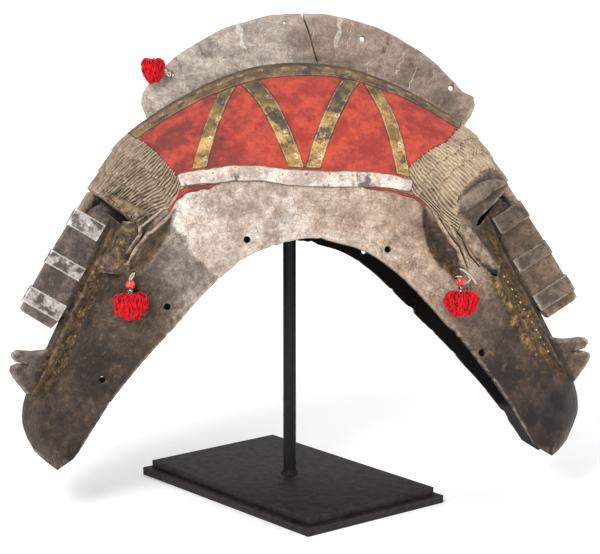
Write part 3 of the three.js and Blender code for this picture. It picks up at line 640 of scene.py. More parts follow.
# Knife cuts beside them, as [s, v, half width, height that the cutter stands out]
CUTS = {
    -1: [[(0.572, 1.155, 0.6, 6), (0.604, 1.21, 0.8, 6), (0.63, 1.27, 0.8, 6), (0.652, 1.31, 0.6, 6)],
         [(0.656, 1.15, 0.8, 5), (0.672, 1.28, 1.4, 5), (0.679, 1.43, 1.4, 5), (0.684, 1.52, 0.8, 5)],
         [(0.56, 1.015, 0.5, 5), (0.59, 1.06, 0.7, 5), (0.625, 1.105, 0.7, 5), (0.65, 1.13, 0.5, 5)]],
    1: [[(0.512, 0.885, 0.6, 5), (0.535, 0.86, 0.8, 5), (0.565, 0.825, 1.0, 5), (0.60, 0.80, 1.0, 5),
         (0.64, 0.84, 0.7, 5)],
        [(0.47, 0.88, 0.5, 4), (0.50, 0.815, 0.8, 4), (0.54, 0.755, 0.8, 4), (0.59, 0.71, 0.8, 4),
         (0.613, 0.68, 0.5, 4)],
        [(0.676, 0.93, 0.6, 5), (0.690, 0.97, 1.2, 5), (0.696, 1.05, 1.2, 5)]],
}


def eye_slot(side, near):
    outline = np.array([(163, 18), (165, 26), (182, 40), (198, 53), (205, 57), (200, 46), (186, 33), (171, 20)])
    points = [(x * side, y * -near, z) for y in (79 if side < 0 else 86, 13) for x, z in outline]
    count = len(outline)
    faces = [[i, (i + 1) % count, count + (i + 1) % count, count + i] for i in range(count)]
    faces += [list(range(count)), list(range(count, 2 * count))]
    return solid("eye_slot", points, faces)


both = [(side, near) for side in (-1, 1) for near in (1, -1)]
carve(mask, [merged("rolls", [bar(*b, BROW_ROLLS[b[0]], "roll") for b in both])], "UNION")
carve(mask, [merged("slots", [eye_slot(*b) for b in both])], "DIFFERENCE")
carve(mask, [merged("noses", [nose(side) for side in (-1, 1)] + [mouth(side) for side in (-1, 1)])], "UNION")
carve(mask, [merged("eyes", [eye(-1, near) if side < 0 else bar(1, near, RIGHT_EYE, "eye")
                             for side, near in both])], "UNION")
carve(mask, [merged("eye_rims", [bar(*b, EYE_RIMS[b[0]], "rim") for b in both])], "UNION")
carve(mask, [merged("ear_rims", [bar(*b, EAR_RIMS[b[0]], "rim") for b in both])], "UNION")
carve(mask, [merged("cuts", [bar(*b, cut, "cut") for b in both for cut in CUTS[b[0]]])], "DIFFERENCE")
carve(mask, [hollow], "DIFFERENCE")

# Fixing holes burnt through the lower edge, and one behind each ear for its tassel
EDGE_HOLES = [(-0.863, 0.38), (-0.625, 0.25), (-0.245, 0.23), (0.315, 0.18)]
NEAR_EDGE_HOLE = (0.769, 0.12)
EDGE_HOLE_RADIUS = 3.4
EAR_HOLES = {-1: (-0.647, 0.88), 1: (0.604, 0.50)}
EAR_HOLE_RADIUS = 2.6


def drill(place, radius, both_walls):
    x, _, z = outer(*place)
    turn = np.linspace(0, 2 * math.pi, 17)[:-1]
    levels = np.linspace(-120, 120 if both_walls else 0, 2)
    grid = np.array([[(x + radius * math.cos(a), y, z + radius * math.sin(a)) for a in turn] for y in levels])
    return closed_loft("drill", grid)


holes = [drill(place, EDGE_HOLE_RADIUS, True) for place in EDGE_HOLES]
holes.append(drill(NEAR_EDGE_HOLE, EDGE_HOLE_RADIUS + 0.6, False))
holes += [drill(place, EAR_HOLE_RADIUS, False) for place in EAR_HOLES.values()]
carve(mask, [merged("holes", holes)], "DIFFERENCE")

# What the finish follows is kept on the mesh: where the wood is worn or dirty, where shade is painted on it, and
# which part it is
def keep(mesh, name, values):
    """A number for each vertex, which the material reads by its name."""
    layer = mesh.attributes.new(name, "FLOAT", "POINT")
    layer.data.foreach_set("value", np.asarray(values, np.float32).ravel())


def all_of(items, name, width, kind=np.float64):
    values = np.empty(len(items) * width, kind)
    items.foreach_get(name, values)
    return values.reshape(-1, width)


def bends(mesh):
    """How far each vertex stands out of its neighbours, above 0 in a dip and below 0 on an edge."""
    at, normal = all_of(mesh.vertices, "co", 3), all_of(mesh.vertices, "normal", 3)
    ends = all_of(mesh.edges, "vertices", 2, np.int32)
    along = at[ends[:, 1]] - at[ends[:, 0]]
    along /= np.maximum(np.linalg.norm(along, axis=1, keepdims=True), 1e-9)
    count = len(at)
    share = np.bincount(ends.ravel(), minlength=count)
    total = np.bincount(ends[:, 0], (normal[ends[:, 0]] * along).sum(1), count)
    total -= np.bincount(ends[:, 1], (normal[ends[:, 1]] * along).sum(1), count)
    bend = total / np.maximum(share, 1)
    for _ in range(2):
        spread = np.bincount(ends[:, 0], bend[ends[:, 1]], count) + np.bincount(ends[:, 1], bend[ends[:, 0]], count)
        bend = 0.5 * bend + 0.5 * spread / np.maximum(share, 1)
    return bend


def line_distance(points, line):
    """How far points in X and Z are from a line of [x, z, ...] places."""
    best = np.full(len(points), 1e9)
    for a, b in zip(np.array(line)[:, :2], np.array(line)[1:, :2]):
        share = np.clip(((points - a) @ (b - a)) / ((b - a) @ (b - a)), 0, 1)
        best = np.minimum(best, np.linalg.norm(points - a - share[:, None] * (b - a), axis=1))
    return best


finder = kdtree.KDTree(grid_s.size)
for number, place in enumerate(outer(grid_s, grid_v).reshape(-1, 3).tolist()):
    finder.insert(place, number)
finder.balance()
spots = all_of(mask.data.vertices, "co", 3)
nearest = np.array([finder.find(p)[1] for p in spots.tolist()])
spot_s, spot_v = grid_s.ravel()[nearest], grid_v.ravel()[nearest]
height = ((spots - outer(grid_s, grid_v).reshape(-1, 3)[nearest]) * body_facing.reshape(-1, 3)[nearest]).sum(1)
bend = bends(mask.data)
reach = np.abs(spot_s)
start = np.where(spot_s < 0, hair_start(-1, spot_v), hair_start(1, spot_v))
keep(mask.data, "worn", np.clip(-bend * 5.0 - 0.25, 0, 1))
keep(mask.data, "dip", np.clip(bend * 6.0 - 0.15, 0, 1))
half_here = stations(reach)[:, 6]
# Near black inside the hollow and on faces that turn down under the lower edge and chins: partly soot, partly painted
# shade
under = (np.minimum(spot_v, 4 - spot_v) < 0.04) * smooth(half_here - np.abs(spots[:, 1]), 1.5, 5)
underneath = smooth(-all_of(mask.data.vertices, "normal", 3)[:, 2], 0.4, 0.75) * smooth(reach, 0.6, 0.68)
under = np.maximum(under, 0.92 * underneath * (np.abs(spots[:, 1]) > 20))
keep(mask.data, "soot_and_shade", np.maximum(smooth(-height, 5, 10), under))
up = np.minimum(spot_v, 4 - spot_v)
chipped = np.interp(up, [0, 0.12, 0.4, 0.68, 0.85, 1.0], [0.385, 0.415, 0.462, 0.483, 0.476, 0.465])
chipped = chipped + 0.03 * rough(spots, 9, 15)
left_arm = 0.6 * smooth(reach, chipped - 0.004, chipped + 0.004) + 0.4 * smooth(reach, chipped + 0.02, 0.68)
speckled = np.clip(2 * rough(spots, 5, 16) + 0.4, 0, 1)
left_arm *= 1 - 0.5 * (1 - smooth(up, 0.05, 0.25)) * (1 - smooth(reach, 0.58, 0.68)) * speckled
keep(mask.data, "arm", np.where(spot_s < 0, left_arm, smooth(reach, 0.53, 0.86)))
low_edge = smooth(reach, 0.69, 0.76) * (1 - smooth(up, 0.04, 0.3))
on_left = spot_s < 0
middle = np.abs(spots[:, 1]) < 20
chin = np.where(on_left, 0.5, 1) * smooth(reach, 0.86, 0.97) * (1 - smooth(up, 1.1, 1.3))
chin = np.maximum(chin, np.where(on_left, low_edge, 0.6 * low_edge))
keep(mask.data, "chin", chin + 0.45 * middle * smooth(reach, 0.84, 0.88) * (height > 2))
roll_start = np.interp(up, *HAIR_END[1])
keep(mask.data, "roll", (spot_s > 0) * smooth(reach, roll_start - 0.002, roll_start + 0.008)
     * (1 - smooth(reach, 0.575, 0.59)) * smooth(up, 1.0, 1.06))
on_finger = (spot_s > 0) * smooth(reach, 0.53, 0.545) * (height > 2.5) * (up > 0.82) * (up < 1.25) * (reach < 0.70)
finger_middle = furrow(reach, up, [(s, v, half * 0.75, 1) for s, v, half, _ in RIGHT_EYE])
keep(mask.data, "finger", on_finger * (0.35 + 0.65 * finger_middle))
keep(mask.data, "shade", np.where(spot_s < 0, 0, furrow(reach, up, EAR_SHADE)) * (height < 2))
hair_limit = np.where(spot_s < 0, np.interp(up, *HAIR_END[-1]), np.interp(up, *HAIR_END[1]))
foot = np.where(spot_s < 0, np.interp(reach, *HAIR_FOOT[-1]), np.interp(reach, *HAIR_FOOT[1]))
keep(mask.data, "hair", smooth(reach, start - 0.01, start + 0.004)
     * (1 - smooth(reach, hair_limit, hair_limit + 0.01)) * smooth(up, foot - 0.02, foot + 0.02))
# Raised rims, painted lighter further on: rubbed wood and a painted highlight on their tops
keep(mask.data, "rim", smooth(height, 1.2, 3.5) * smooth(reach, 0.42, 0.45) * (1 - smooth(reach, 0.65, 0.68))
     * (up < np.where(spot_s < 0, 1.07, 0.9)))
on_wall = (spot_s > 0) * smooth(up + 0.06 * rough(spots, 7, 18), 0.80, 0.86) * (up <= 1.02)
on_wall = on_wall * smooth(reach, 0.64, 0.70) * (1 - smooth(reach, 0.82, 0.95))
on_plate = on_left * smooth(reach, 0.6, 0.64) * (1 - smooth(reach, 0.93, 0.98)) * (height < 1) * smooth(up, 1.5, 1.6)
bare = np.maximum(on_wall, 0.8 * on_plate)
keep(mask.data, "trough", np.maximum(trough(spot_s, spot_v, spots), bare) * (height < 3))
ridge = np.interp(reach, [0.60, 0.68, 0.77, 0.86, 0.92], [1.12, 1.34, 1.42, 1.32, 1.12])
outer_edge = np.where(spot_s < 0, ridge, 1.04)
keep(mask.data, "face", smooth(reach, BROW, 0.59) * (1 - smooth(reach, 0.9, 0.98))
     * smooth(up, outer_edge - 0.04, outer_edge + 0.04) * (height < 16) * (1 - middle * smooth(height, 2, 5)))
keep(mask.data, "crust", smooth(reach, np.where(on_left, 0.48, 0.51), 0.545) * (1 - smooth(reach, 0.62, 0.68))
     * smooth(up, 0.95, 1.05) * (1 - smooth(np.abs(up - 1.2), 0.15, 0.5)))
on_crest = (np.abs(spots[:, 1]) < 9) * smooth(height, 1, 4) * (reach < 0.5)
keep(mask.data, "crest", on_crest)
keep(mask.data, "crack", on_crest * (1 - smooth(line_distance(spots[:, [0, 2]], SPLIT), 0.4, 1.5)))
keep(mask.data, "nose", (np.abs(spots[:, 1]) < 20) * smooth(height, 1.5, 4) * (reach > BROW))
in_ear = np.where(spot_s < 0, furrow(reach, up, EAR_HOLLOWS[-1]), furrow(reach, up, EAR_HOLLOWS[1]))
keep(mask.data, "ear", smooth(in_ear, 0.3, 2.5) * (height < 2))
arch = mask.data.attributes.new("arch", "FLOAT_VECTOR", "POINT")
arch.data.foreach_set("vector", np.stack([spot_s * 0.37, spot_v * 0.1, 0 * spot_s], -1).astype(np.float32).ravel())


def paint(red, green, blue):
    """A colour as it looks on a screen, 0 to 255, as the light that a shader works with."""
    return tuple(((c / 255 + 0.055) / 1.055) ** 2.4 if c > 10 else c / 3294.6 for c in (red, green, blue)) + (1,)


def put(tree, kind, inputs=(), **settings):
    """A node with its settings, and what each of its inputs is set or joined to."""
    made = tree.nodes.new(kind)
    for name, value in settings.items():
        setattr(made, name, value)
    for name, value in dict(inputs).items():
        if isinstance(value, bpy.types.NodeSocket):
            tree.links.new(value, made.inputs[name])
        else:
            made.inputs[name].default_value = value
    return made


def mixed(tree, share, first, second, how="MIX"):
    return put(tree, "ShaderNodeMix", {0: share, 6: first, 7: second}, data_type="RGBA", blend_type=how).outputs[2]


def sums(tree, how, first, second=0.0):
    return put(tree, "ShaderNodeMath", {0: first, 1: second}, operation=how).outputs[0]


def times(tree, first, second):
    return sums(tree, "MULTIPLY", first, second)


def plus(tree, first, second):
    return sums(tree, "ADD", first, second)


def minus(tree, first, second):
    return sums(tree, "SUBTRACT", first, second)


def ramp(tree, value, low, high, start=0.0, end=1.0):
    return put(tree, "ShaderNodeMapRange", {0: value, 1: low, 2: high, 3: start, 4: end},
               interpolation_type="SMOOTHSTEP").outputs[0]


def spots_of(tree, where, scale, detail=3.0, rough_share=0.55, stretch=None):
    """Soft noise, its lumps that many to the metre."""
    if stretch:
        where = put(tree, "ShaderNodeMapping", {"Vector": where, "Scale": stretch}).outputs[0]
    return put(tree, "ShaderNodeTexNoise", {"Vector": where, "Scale": scale, "Detail": detail,
                                            "Roughness": rough_share}).outputs[0]


def kept(tree, name):
    return put(tree, "ShaderNodeAttribute", attribute_name=name)


def group(name, inputs, outputs):
    """An empty shader node group with its sockets; an input given as a number is a value."""
    tree = bpy.data.node_groups.new(name, "ShaderNodeTree")
    for label, value in inputs.items():
        kind = "NodeSocketFloat" if isinstance(value, float) else "NodeSocketVector"
        socket = tree.interface.new_socket(label, in_out="INPUT", socket_type=kind)
        if isinstance(value, float):
            socket.default_value = value
    for label in outputs:
        tree.interface.new_socket(label, in_out="OUTPUT", socket_type="NodeSocketFloat")
    return tree, tree.nodes.new("NodeGroupInput").outputs, tree.nodes.new("NodeGroupOutput").inputs


def use(tree, what, inputs):
    made = put(tree, "ShaderNodeGroup", node_tree=what)
    for name, value in inputs.items():
        if isinstance(value, bpy.types.NodeSocket):
            tree.links.new(value, made.inputs[name])
        else:
            made.inputs[name].default_value = value
    return made.outputs


# Old wood grain: long fibres and open pores that follow a direction
grain, given, result = group("grain", {"Where": None, "Fibres": 260.0, "Pores": 900.0}, ["Fibre", "Pore"])
fibre = put(grain, "ShaderNodeTexNoise", {"Vector": put(grain, "ShaderNodeMapping", {
    "Vector": given["Where"], "Scale": (0.12, 1, 1)}).outputs[0], "Scale": given["Fibres"], "Detail": 4.0,
    "Roughness": 0.6, "Distortion": 0.4}).outputs[0]
pore = put(grain, "ShaderNodeTexNoise", {"Vector": put(grain, "ShaderNodeMapping", {
    "Vector": given["Where"], "Scale": (0.3, 1, 1)}).outputs[0], "Scale": given["Pores"], "Detail": 2.0}).outputs[0]
grain.links.new(ramp(grain, fibre, 0.35, 0.65), result["Fibre"])
grain.links.new(ramp(grain, pore, 0.30, 0.45), result["Pore"])

# Wear: rubbed patches along edges, broken up so that they don't run as lines
wear, given, result = group("wear", {"Where": None, "Edge": 0.0, "Amount": 1.0}, ["Rubbed"])
broken = put(wear, "ShaderNodeTexNoise", {"Vector": given["Where"], "Scale": 160.0, "Detail": 4.0,
                                          "Roughness": 0.65}).outputs[0]
rubbed = times(wear, times(wear, given["Edge"], ramp(wear, broken, 0.36, 0.6, 0.15, 1.6)),
              given["Amount"])
wear.links.new(put(wear, "ShaderNodeClamp", {0: rubbed}).outputs[0], result["Rubbed"])

# Grime and painted shade: dark dirt, and painted shade, that lie in dips and drift a little way out of them
grime_and_shade, given, result = group("grime_and_shade", {"Where": None, "Dip": 0.0, "Amount": 1.0}, ["Dirt"])
drift = put(grime_and_shade, "ShaderNodeTexNoise", {"Vector": given["Where"], "Scale": 60.0, "Detail": 5.0,
                                          "Roughness": 0.6}).outputs[0]
dirt_and_shade = plus(grime_and_shade, given["Dip"], ramp(grime_and_shade, drift, 0.5, 0.75, 0.0, 0.45))
grime_and_shade.links.new(put(grime_and_shade, "ShaderNodeClamp", {0: times(grime_and_shade, dirt_and_shade, given["Amount"])}).outputs[0],
                result["Dirt"])


def new_material(name):
    material = bpy.data.materials.new(name)
    material.use_nodes = True
    tree = material.node_tree
    return material, tree, tree.nodes["Principled BSDF"].inputs


carved_wood, tree, surface = new_material("weathered wood")
where = put(tree, "ShaderNodeTexCoord").outputs["Object"]
arch_place = kept(tree, "arch").outputs["Vector"]
region = {name: kept(tree, name).outputs["Fac"] for name in (
    "worn", "dip", "soot_and_shade", "arm", "hair", "trough", "face", "crust", "crest", "nose", "ear", "rim", "crack", "chin",
    "roll", "finger", "shade")}
old_grain = use(tree, grain, {"Where": arch_place, "Fibres": 260.0, "Pores": 900.0})
large = spots_of(tree, where, 13.0, 3.0)
patchy = spots_of(tree, where, 42.0, 5.0, 0.62)
mottled = spots_of(tree, where, 150.0, 5.0, 0.72)
fine = spots_of(tree, where, 520.0, 4.0, 0.7)
to_right = ramp(tree, put(tree, "ShaderNodeSeparateXYZ", {0: where}).outputs[0], -0.2, 0.2)
tone = plus(tree, times(tree, large, 0.5), times(tree, patchy, 0.5))
scuffs = put(tree, "ShaderNodeTexNoise", {"Vector": arch_place, "Scale": 120.0, "Detail": 6.0, "Roughness": 0.7,
                                          "Distortion": 1.4}).outputs[0]
veins = sums(tree, "ABSOLUTE", minus(tree, scuffs, 0.5))
colour = mixed(tree, ramp(tree, tone, 0.38, 0.6), paint(146, 127, 112), paint(192, 175, 159))
haze = times(tree, ramp(tree, large, 0.47, 0.56), ramp(tree, patchy, 0.42, 0.56))
colour = mixed(tree, times(tree, haze, 0.5), colour, paint(206, 196, 186))
across_dome = ramp(tree, put(tree, "ShaderNodeSeparateXYZ", {0: where}).outputs[0], -0.07, 0.09)
colour = mixed(tree, 1.0, colour, mixed(tree, across_dome, (1.14, 1.17, 1.22, 1), (0.94, 0.84, 0.77, 1)), "MULTIPLY")
bent = put(tree, "ShaderNodeTexNoise", {"Vector": where, "Scale": 45.0, "Detail": 3.0}).outputs["Color"]
bent = put(tree, "ShaderNodeVectorMath", {0: bent, "Scale": 0.022}, operation="SCALE").outputs[0]
bent = put(tree, "ShaderNodeVectorMath", {0: where, 1: bent}, operation="ADD").outputs[0]
crackle = put(tree, "ShaderNodeTexVoronoi", {"Vector": bent, "Scale": 62.0}, feature="DISTANCE_TO_EDGE").outputs[0]
crackle = times(tree, ramp(tree, crackle, 0.008, 0.03, 1.0, 0.0), ramp(tree, large, 0.40, 0.52))
dark_wood = mixed(tree, ramp(tree, tone, 0.38, 0.62), paint(38, 28, 22), paint(84, 67, 52))
dark_wood = mixed(tree, ramp(tree, mottled, 0.56, 0.68, 0.0, 0.45), dark_wood, paint(112, 90, 70))
dark_wood = mixed(tree, ramp(tree, scuffs, 0.54, 0.66, 0.0, 0.6), dark_wood, paint(46, 37, 40))
colour = mixed(tree, times(tree, region["shade"], 0.75), colour, mixed(
    tree, ramp(tree, patchy, 0.4, 0.6), paint(84, 64, 52), paint(140, 116, 94)))
colour = mixed(tree, region["arm"], colour, dark_wood)
colour = mixed(tree, times(tree, crackle, 0.4), colour, paint(58, 46, 38))
colour = mixed(tree, times(tree, region["chin"], 0.7), colour, mixed(
    tree, ramp(tree, patchy, 0.4, 0.62), paint(24, 18, 17), paint(58, 46, 44)))
wisps = spots_of(tree, where, 55.0, 6.0, 0.66, (0.4, 1, 1.2))
crest_left = mixed(tree, ramp(tree, wisps, 0.36, 0.64), paint(142, 129, 119), paint(182, 168, 156))
crest_right = mixed(tree, ramp(tree, wisps, 0.36, 0.64), paint(112, 96, 84), paint(146, 128, 115))
crest_tone = mixed(tree, ramp(tree, to_right, 0.45, 0.6), crest_left, crest_right)
crest_tone = mixed(tree, ramp(tree, scuffs, 0.61, 0.66, 0.0, 0.7), crest_tone, paint(214, 206, 196))
crest_tone = mixed(tree, region["crack"], crest_tone, paint(34, 26, 22))
colour = mixed(tree, region["crest"], colour, crest_tone)
nose_tone = mixed(tree, ramp(tree, patchy, 0.36, 0.66), paint(76, 65, 60), paint(122, 108, 99))
nose_tone = mixed(tree, ramp(tree, to_right, 0.6, 0.9), nose_tone, mixed(
    tree, ramp(tree, patchy, 0.36, 0.66), paint(88, 72, 58), paint(136, 114, 94)))
nose_tone = mixed(tree, times(tree, region["chin"], 0.9), nose_tone, paint(46, 37, 32))
colour = mixed(tree, region["nose"], colour, nose_tone)
# The left hair is painted darker and the right lighter: painted shade and painted light for the way each side faces
# the light, over the hair's own tone
hair_dark = mixed(tree, to_right, paint(106, 86, 66), paint(140, 119, 94))
hair_light = mixed(tree, to_right, paint(158, 136, 112), paint(208, 186, 156))
colour = mixed(tree, region["hair"], colour, mixed(tree, ramp(tree, tone, 0.36, 0.62), hair_dark, hair_light))
ear_tone = mixed(tree, ramp(tree, mottled, 0.4, 0.65), paint(48, 34, 27), paint(108, 80, 62))
ear_tone = mixed(tree, ramp(tree, to_right, 0.4, 0.6, 0.75, 0.0), ear_tone, mixed(
    tree, ramp(tree, patchy, 0.4, 0.6), paint(64, 50, 32), paint(112, 90, 60)))
colour = mixed(tree, times(tree, region["ear"], 0.92), colour, ear_tone)
face_tone = mixed(tree, ramp(tree, patchy, 0.38, 0.62), paint(42, 31, 21), paint(82, 64, 42))
colour = mixed(tree, region["face"], colour, face_tone)
# Ochre, yellow, rust and green paint, left as small flecks in the sunk parts of the faces
stretch = put(tree, "ShaderNodeCombineXYZ", {0: 1.1, 1: ramp(tree, to_right, 0.4, 0.6, 0.55, 0.3), 2: 1.0}).outputs[0]
lengthwise = put(tree, "ShaderNodeMapping", {"Vector": arch_place, "Scale": stretch}).outputs[0]
flecks = put(tree, "ShaderNodeTexVoronoi", {"Vector": lengthwise, "Scale": 430.0, "Randomness": 1.0})
fleck_hue = put(tree, "ShaderNodeSeparateColor", {0: flecks.outputs["Color"]}).outputs
fleck = plus(tree, flecks.outputs["Distance"], times(tree, fine, 0.5))
fleck = ramp(tree, fleck, 0.5, 0.72, 1.0, 0.0)
ochre = mixed(tree, fleck_hue[0], paint(108, 72, 36), paint(172, 124, 64))
ochre = mixed(tree, ramp(tree, fleck_hue[1], 0.76, 0.8), ochre, paint(150, 80, 52))
ochre = mixed(tree, ramp(tree, fleck_hue[2], 0.74, 0.78), ochre, paint(88, 84, 46))
ochre = mixed(tree, ramp(tree, fleck_hue[1], 0.2, 0.16), ochre, paint(150, 122, 60))
laid_on = times(tree, ramp(tree, patchy, 0.42, 0.54, 0.15, 0.85), ramp(tree, fleck_hue[0], 0.1, 0.4))
trough_share = times(tree, fleck, laid_on)
bare = mixed(tree, ramp(tree, mottled, 0.4, 0.65), paint(38, 28, 18), paint(92, 70, 40))
blotch = ramp(tree, spots_of(tree, lengthwise, 150.0, 3.0, 0.5), 0.45, 0.56)
blotch = times(tree, blotch, ramp(tree, to_right, 0.6, 0.9))
blotch = times(tree, blotch, ramp(tree, patchy, 0.4, 0.6, 0.3, 0.85))
blotch_tone = mixed(tree, ramp(tree, mottled, 0.4, 0.6), paint(104, 78, 38), paint(168, 130, 64))
blotch_tone = mixed(tree, ramp(tree, large, 0.44, 0.54), blotch_tone, paint(112, 76, 52))
bare = mixed(tree, blotch, bare, blotch_tone)
colour = mixed(tree, region["trough"], colour, mixed(tree, trough_share, bare, ochre))
crust_tone = mixed(tree, ramp(tree, mottled, 0.4, 0.66), paint(44, 35, 24), paint(112, 90, 58))
crust_tone = mixed(tree, times(tree, fleck, ramp(tree, patchy, 0.5, 0.6, 0.05, 0.6)), crust_tone, ochre)
colour = mixed(tree, times(tree, region["crust"], ramp(tree, patchy, 0.3, 0.5, 0.4, 0.95)), colour,
               crust_tone)
colour = mixed(tree, times(tree, region["roll"], 0.85), colour, mixed(
    tree, ramp(tree, patchy, 0.4, 0.62), paint(54, 42, 36), paint(92, 76, 66)))
colour = mixed(tree, region["finger"], colour, mixed(
    tree, ramp(tree, scuffs, 0.42, 0.6), paint(56, 44, 36), paint(112, 94, 78)))
# Raised rims of the ears and eyes painted pale tan: partly rubbed wood, partly a painted highlight on their tops
colour = mixed(tree, times(tree, region["rim"], 0.85), colour, mixed(
    tree, ramp(tree, mottled, 0.4, 0.6), paint(118, 94, 72), paint(196, 172, 142)))
pale = minus(tree, 1.0, region["arm"])
speckled = ramp(tree, mottled, 0.3, 0.7, 0.55, 1.45)
speckled = put(tree, "ShaderNodeMix", {0: times(tree, pale, 0.5), 2: speckled, 3: 1.0},
               data_type="FLOAT").outputs[0]
colour = mixed(tree, 1.0, colour, speckled, "MULTIPLY")
colour = mixed(tree, 1.0, colour, ramp(tree, fine, 0.3, 0.7, 0.74, 1.24), "MULTIPLY")
colour = mixed(tree, ramp(tree, veins, 0.0, 0.012, 0.5, 0.0), colour, paint(62, 48, 40), "MULTIPLY")
colour = mixed(tree, times(tree, old_grain["Fibre"], 0.14), colour, paint(90, 78, 68), "MULTIPLY")
# Dips darkened: dirt, and painted shade where the wood turns inwards
dirt_and_shade = use(tree, grime_and_shade, {"Where": where, "Dip": region["dip"], "Amount": 0.9})["Dirt"]
colour = mixed(tree, dirt_and_shade, colour, paint(34, 26, 21))
rubbed = use(tree, wear, {"Where": where, "Edge": region["worn"], "Amount": 0.7})["Rubbed"]
colour = mixed(tree, rubbed, colour, paint(176, 156, 134))
# Near black: soot, and painted shade inside the hollow and underneath
colour = mixed(tree, region["soot_and_shade"], colour, paint(20, 16, 14))
tree.links.new(colour, surface["Base Color"])
dullness = ramp(tree, mottled, 0.35, 0.7, 0.42, 0.72)
tree.links.new(sums(tree, "MAXIMUM", dullness, region["soot_and_shade"]), surface["Roughness"])
surface["Specular IOR Level"].default_value = 0.3
relief_height = times(tree, old_grain["Fibre"], 0.4)
for what, amount in ((mottled, 1.4), (fine, 0.7), (old_grain["Pore"], 0.3)):
    relief_height = plus(tree, relief_height, times(tree, what, amount))
tree.links.new(put(tree, "ShaderNodeBump", {"Strength": 0.7, "Distance": 0.0012, "Height": relief_height}).outputs[0],
               surface["Normal"])

mask.data.materials.clear()
mask.data.materials.append(carved_wood)
mask.data.shade_smooth()
mask.data.set_sharp_from_angle(angle=math.radians(48))
mask.data.vertices.foreach_set("co", standing(spots).ravel())
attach(mask, "root")
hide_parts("mask")

# Paint dots
# A row of small chalky dots down the edge of the right face's plate, dabbed on with a twig over the
# older paint. They stand up a little from the wood.
DOT_ROW = [(0.668, 1.31), (0.676, 1.33), (0.719, 1.40), (0.777, 1.45), (0.813, 1.50), (0.885, 1.50)]


def tree_with(name, inputs):
    """A geometry node tree with named inputs; gives back the tree and its in and out nodes."""
    tree = bpy.data.node_groups.new(name, "GeometryNodeTree")
    tree.interface.new_socket("Geometry", in_out="INPUT", socket_type="NodeSocketGeometry")
    for label, kind in inputs.items():
        tree.interface.new_socket(label, in_out="INPUT", socket_type=kind)
    tree.interface.new_socket("Geometry", in_out="OUTPUT", socket_type="NodeSocketGeometry")
    return tree, tree.nodes.new("NodeGroupInput").outputs, tree.nodes.new("NodeGroupOutput").inputs


def grown(name, tree, values, base=None):
    """A plain mesh made by a tree from its inputs' values."""
    thing = bpy.data.objects.new(name, base or bpy.data.meshes.new(name))
    scene.collection.objects.link(thing)
    step = thing.modifiers.new("made", "NODES")
    step.node_group = tree
    for item in tree.interface.items_tree:
        if item.in_out == "INPUT" and item.name in values:
            step[item.identifier] = values[item.name]
    graph = bpy.context.evaluated_depsgraph_get()
    mesh = bpy.data.meshes.new_from_object(thing.evaluated_get(graph))
    thing.modifiers.clear()
    thing.data = mesh
    return thing


def line_mesh(name, points):
    base = bpy.data.meshes.new(name)
    base.from_pydata([list(p) for p in points], [(i, i + 1) for i in range(len(points) - 1)], [])
    return base


row_of_dots, given, result = tree_with("row of dots", {
    "Gap": "NodeSocketFloat", "Dot": "NodeSocketFloat", "Seed": "NodeSocketInt", "Finish": "NodeSocketMaterial"})
line = put(row_of_dots, "GeometryNodeMeshToCurve", {"Mesh": given["Geometry"]}).outputs[0]
line = put(row_of_dots, "GeometryNodeResampleCurve", {"Curve": line, "Length": given["Gap"]},
           mode="LENGTH").outputs[0]
dab = put(row_of_dots, "GeometryNodeMeshIcoSphere", {"Radius": given["Dot"], "Subdivisions": 2}).outputs[0]
size = put(row_of_dots, "FunctionNodeRandomValue", {0: (0.6, 0.6, 0.6), 1: (1.2, 1.2, 1.2), "Seed": given["Seed"]},
           data_type="FLOAT_VECTOR").outputs[0]
drift = put(row_of_dots, "FunctionNodeRandomValue", {0: (-0.0005, -0.0004, -0.0005), 1: (0.0005, 0.0004, 0.0005),
                                                     "Seed": given["Seed"]}, data_type="FLOAT_VECTOR").outputs[0]
made = put(row_of_dots, "GeometryNodeInstanceOnPoints", {"Points": line, "Instance": dab, "Scale": size})
made = put(row_of_dots, "GeometryNodeTranslateInstances", {"Instances": made.outputs[0], "Translation": drift})
made = put(row_of_dots, "GeometryNodeRealizeInstances", {0: made.outputs[0]})
made = put(row_of_dots, "GeometryNodeSetMaterial", {"Geometry": made.outputs[0], "Material": given["Finish"]})
row_of_dots.links.new(made.outputs[0], result["Geometry"])

chalk, tree, surface = new_material("chalky paint")
where = put(tree, "ShaderNodeTexCoord").outputs["Object"]
tree.links.new(mixed(tree, spots_of(tree, where, 700.0, 3.0), paint(196, 176, 140), paint(236, 226, 204)),
               surface["Base Color"])
surface["Roughness"].default_value = 0.9
mask_skin = bvhtree.BVHTree.FromPolygons(standing(spots).tolist(), [list(p.vertices) for p in mask.data.polygons])
for near, side_name in ((1, "near"), (-1, "far")):
    at = np.linspace(0, len(DOT_ROW) - 1, 40)
    s, v = [np.interp(at, np.arange(len(DOT_ROW)), np.array(DOT_ROW)[:, n]) for n in (0, 1)]
    row = standing(outer(s, v) * np.array([1, near, 1]))
    row = [mask_skin.find_nearest(Vector(p))[0] for p in row]
    dots = grown(f"chalk-dots-{side_name}", row_of_dots, {"Gap": 0.0082, "Dot": 0.00095, "Seed": 3, "Finish": chalk},
                 line_mesh("row", row))
    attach(dots, "root")

# Cloths glued over the dome
# Thin red cotton, a panel on each side of the crest, its edges trimmed by hand. It was pasted on
# wet, so it lies flat with small creases, and scraps of it hang below the border.
CLOTH_LIFT = 0.5
CLOTH_THICKNESS = 0.7
CLOTH_TOP = 1.75
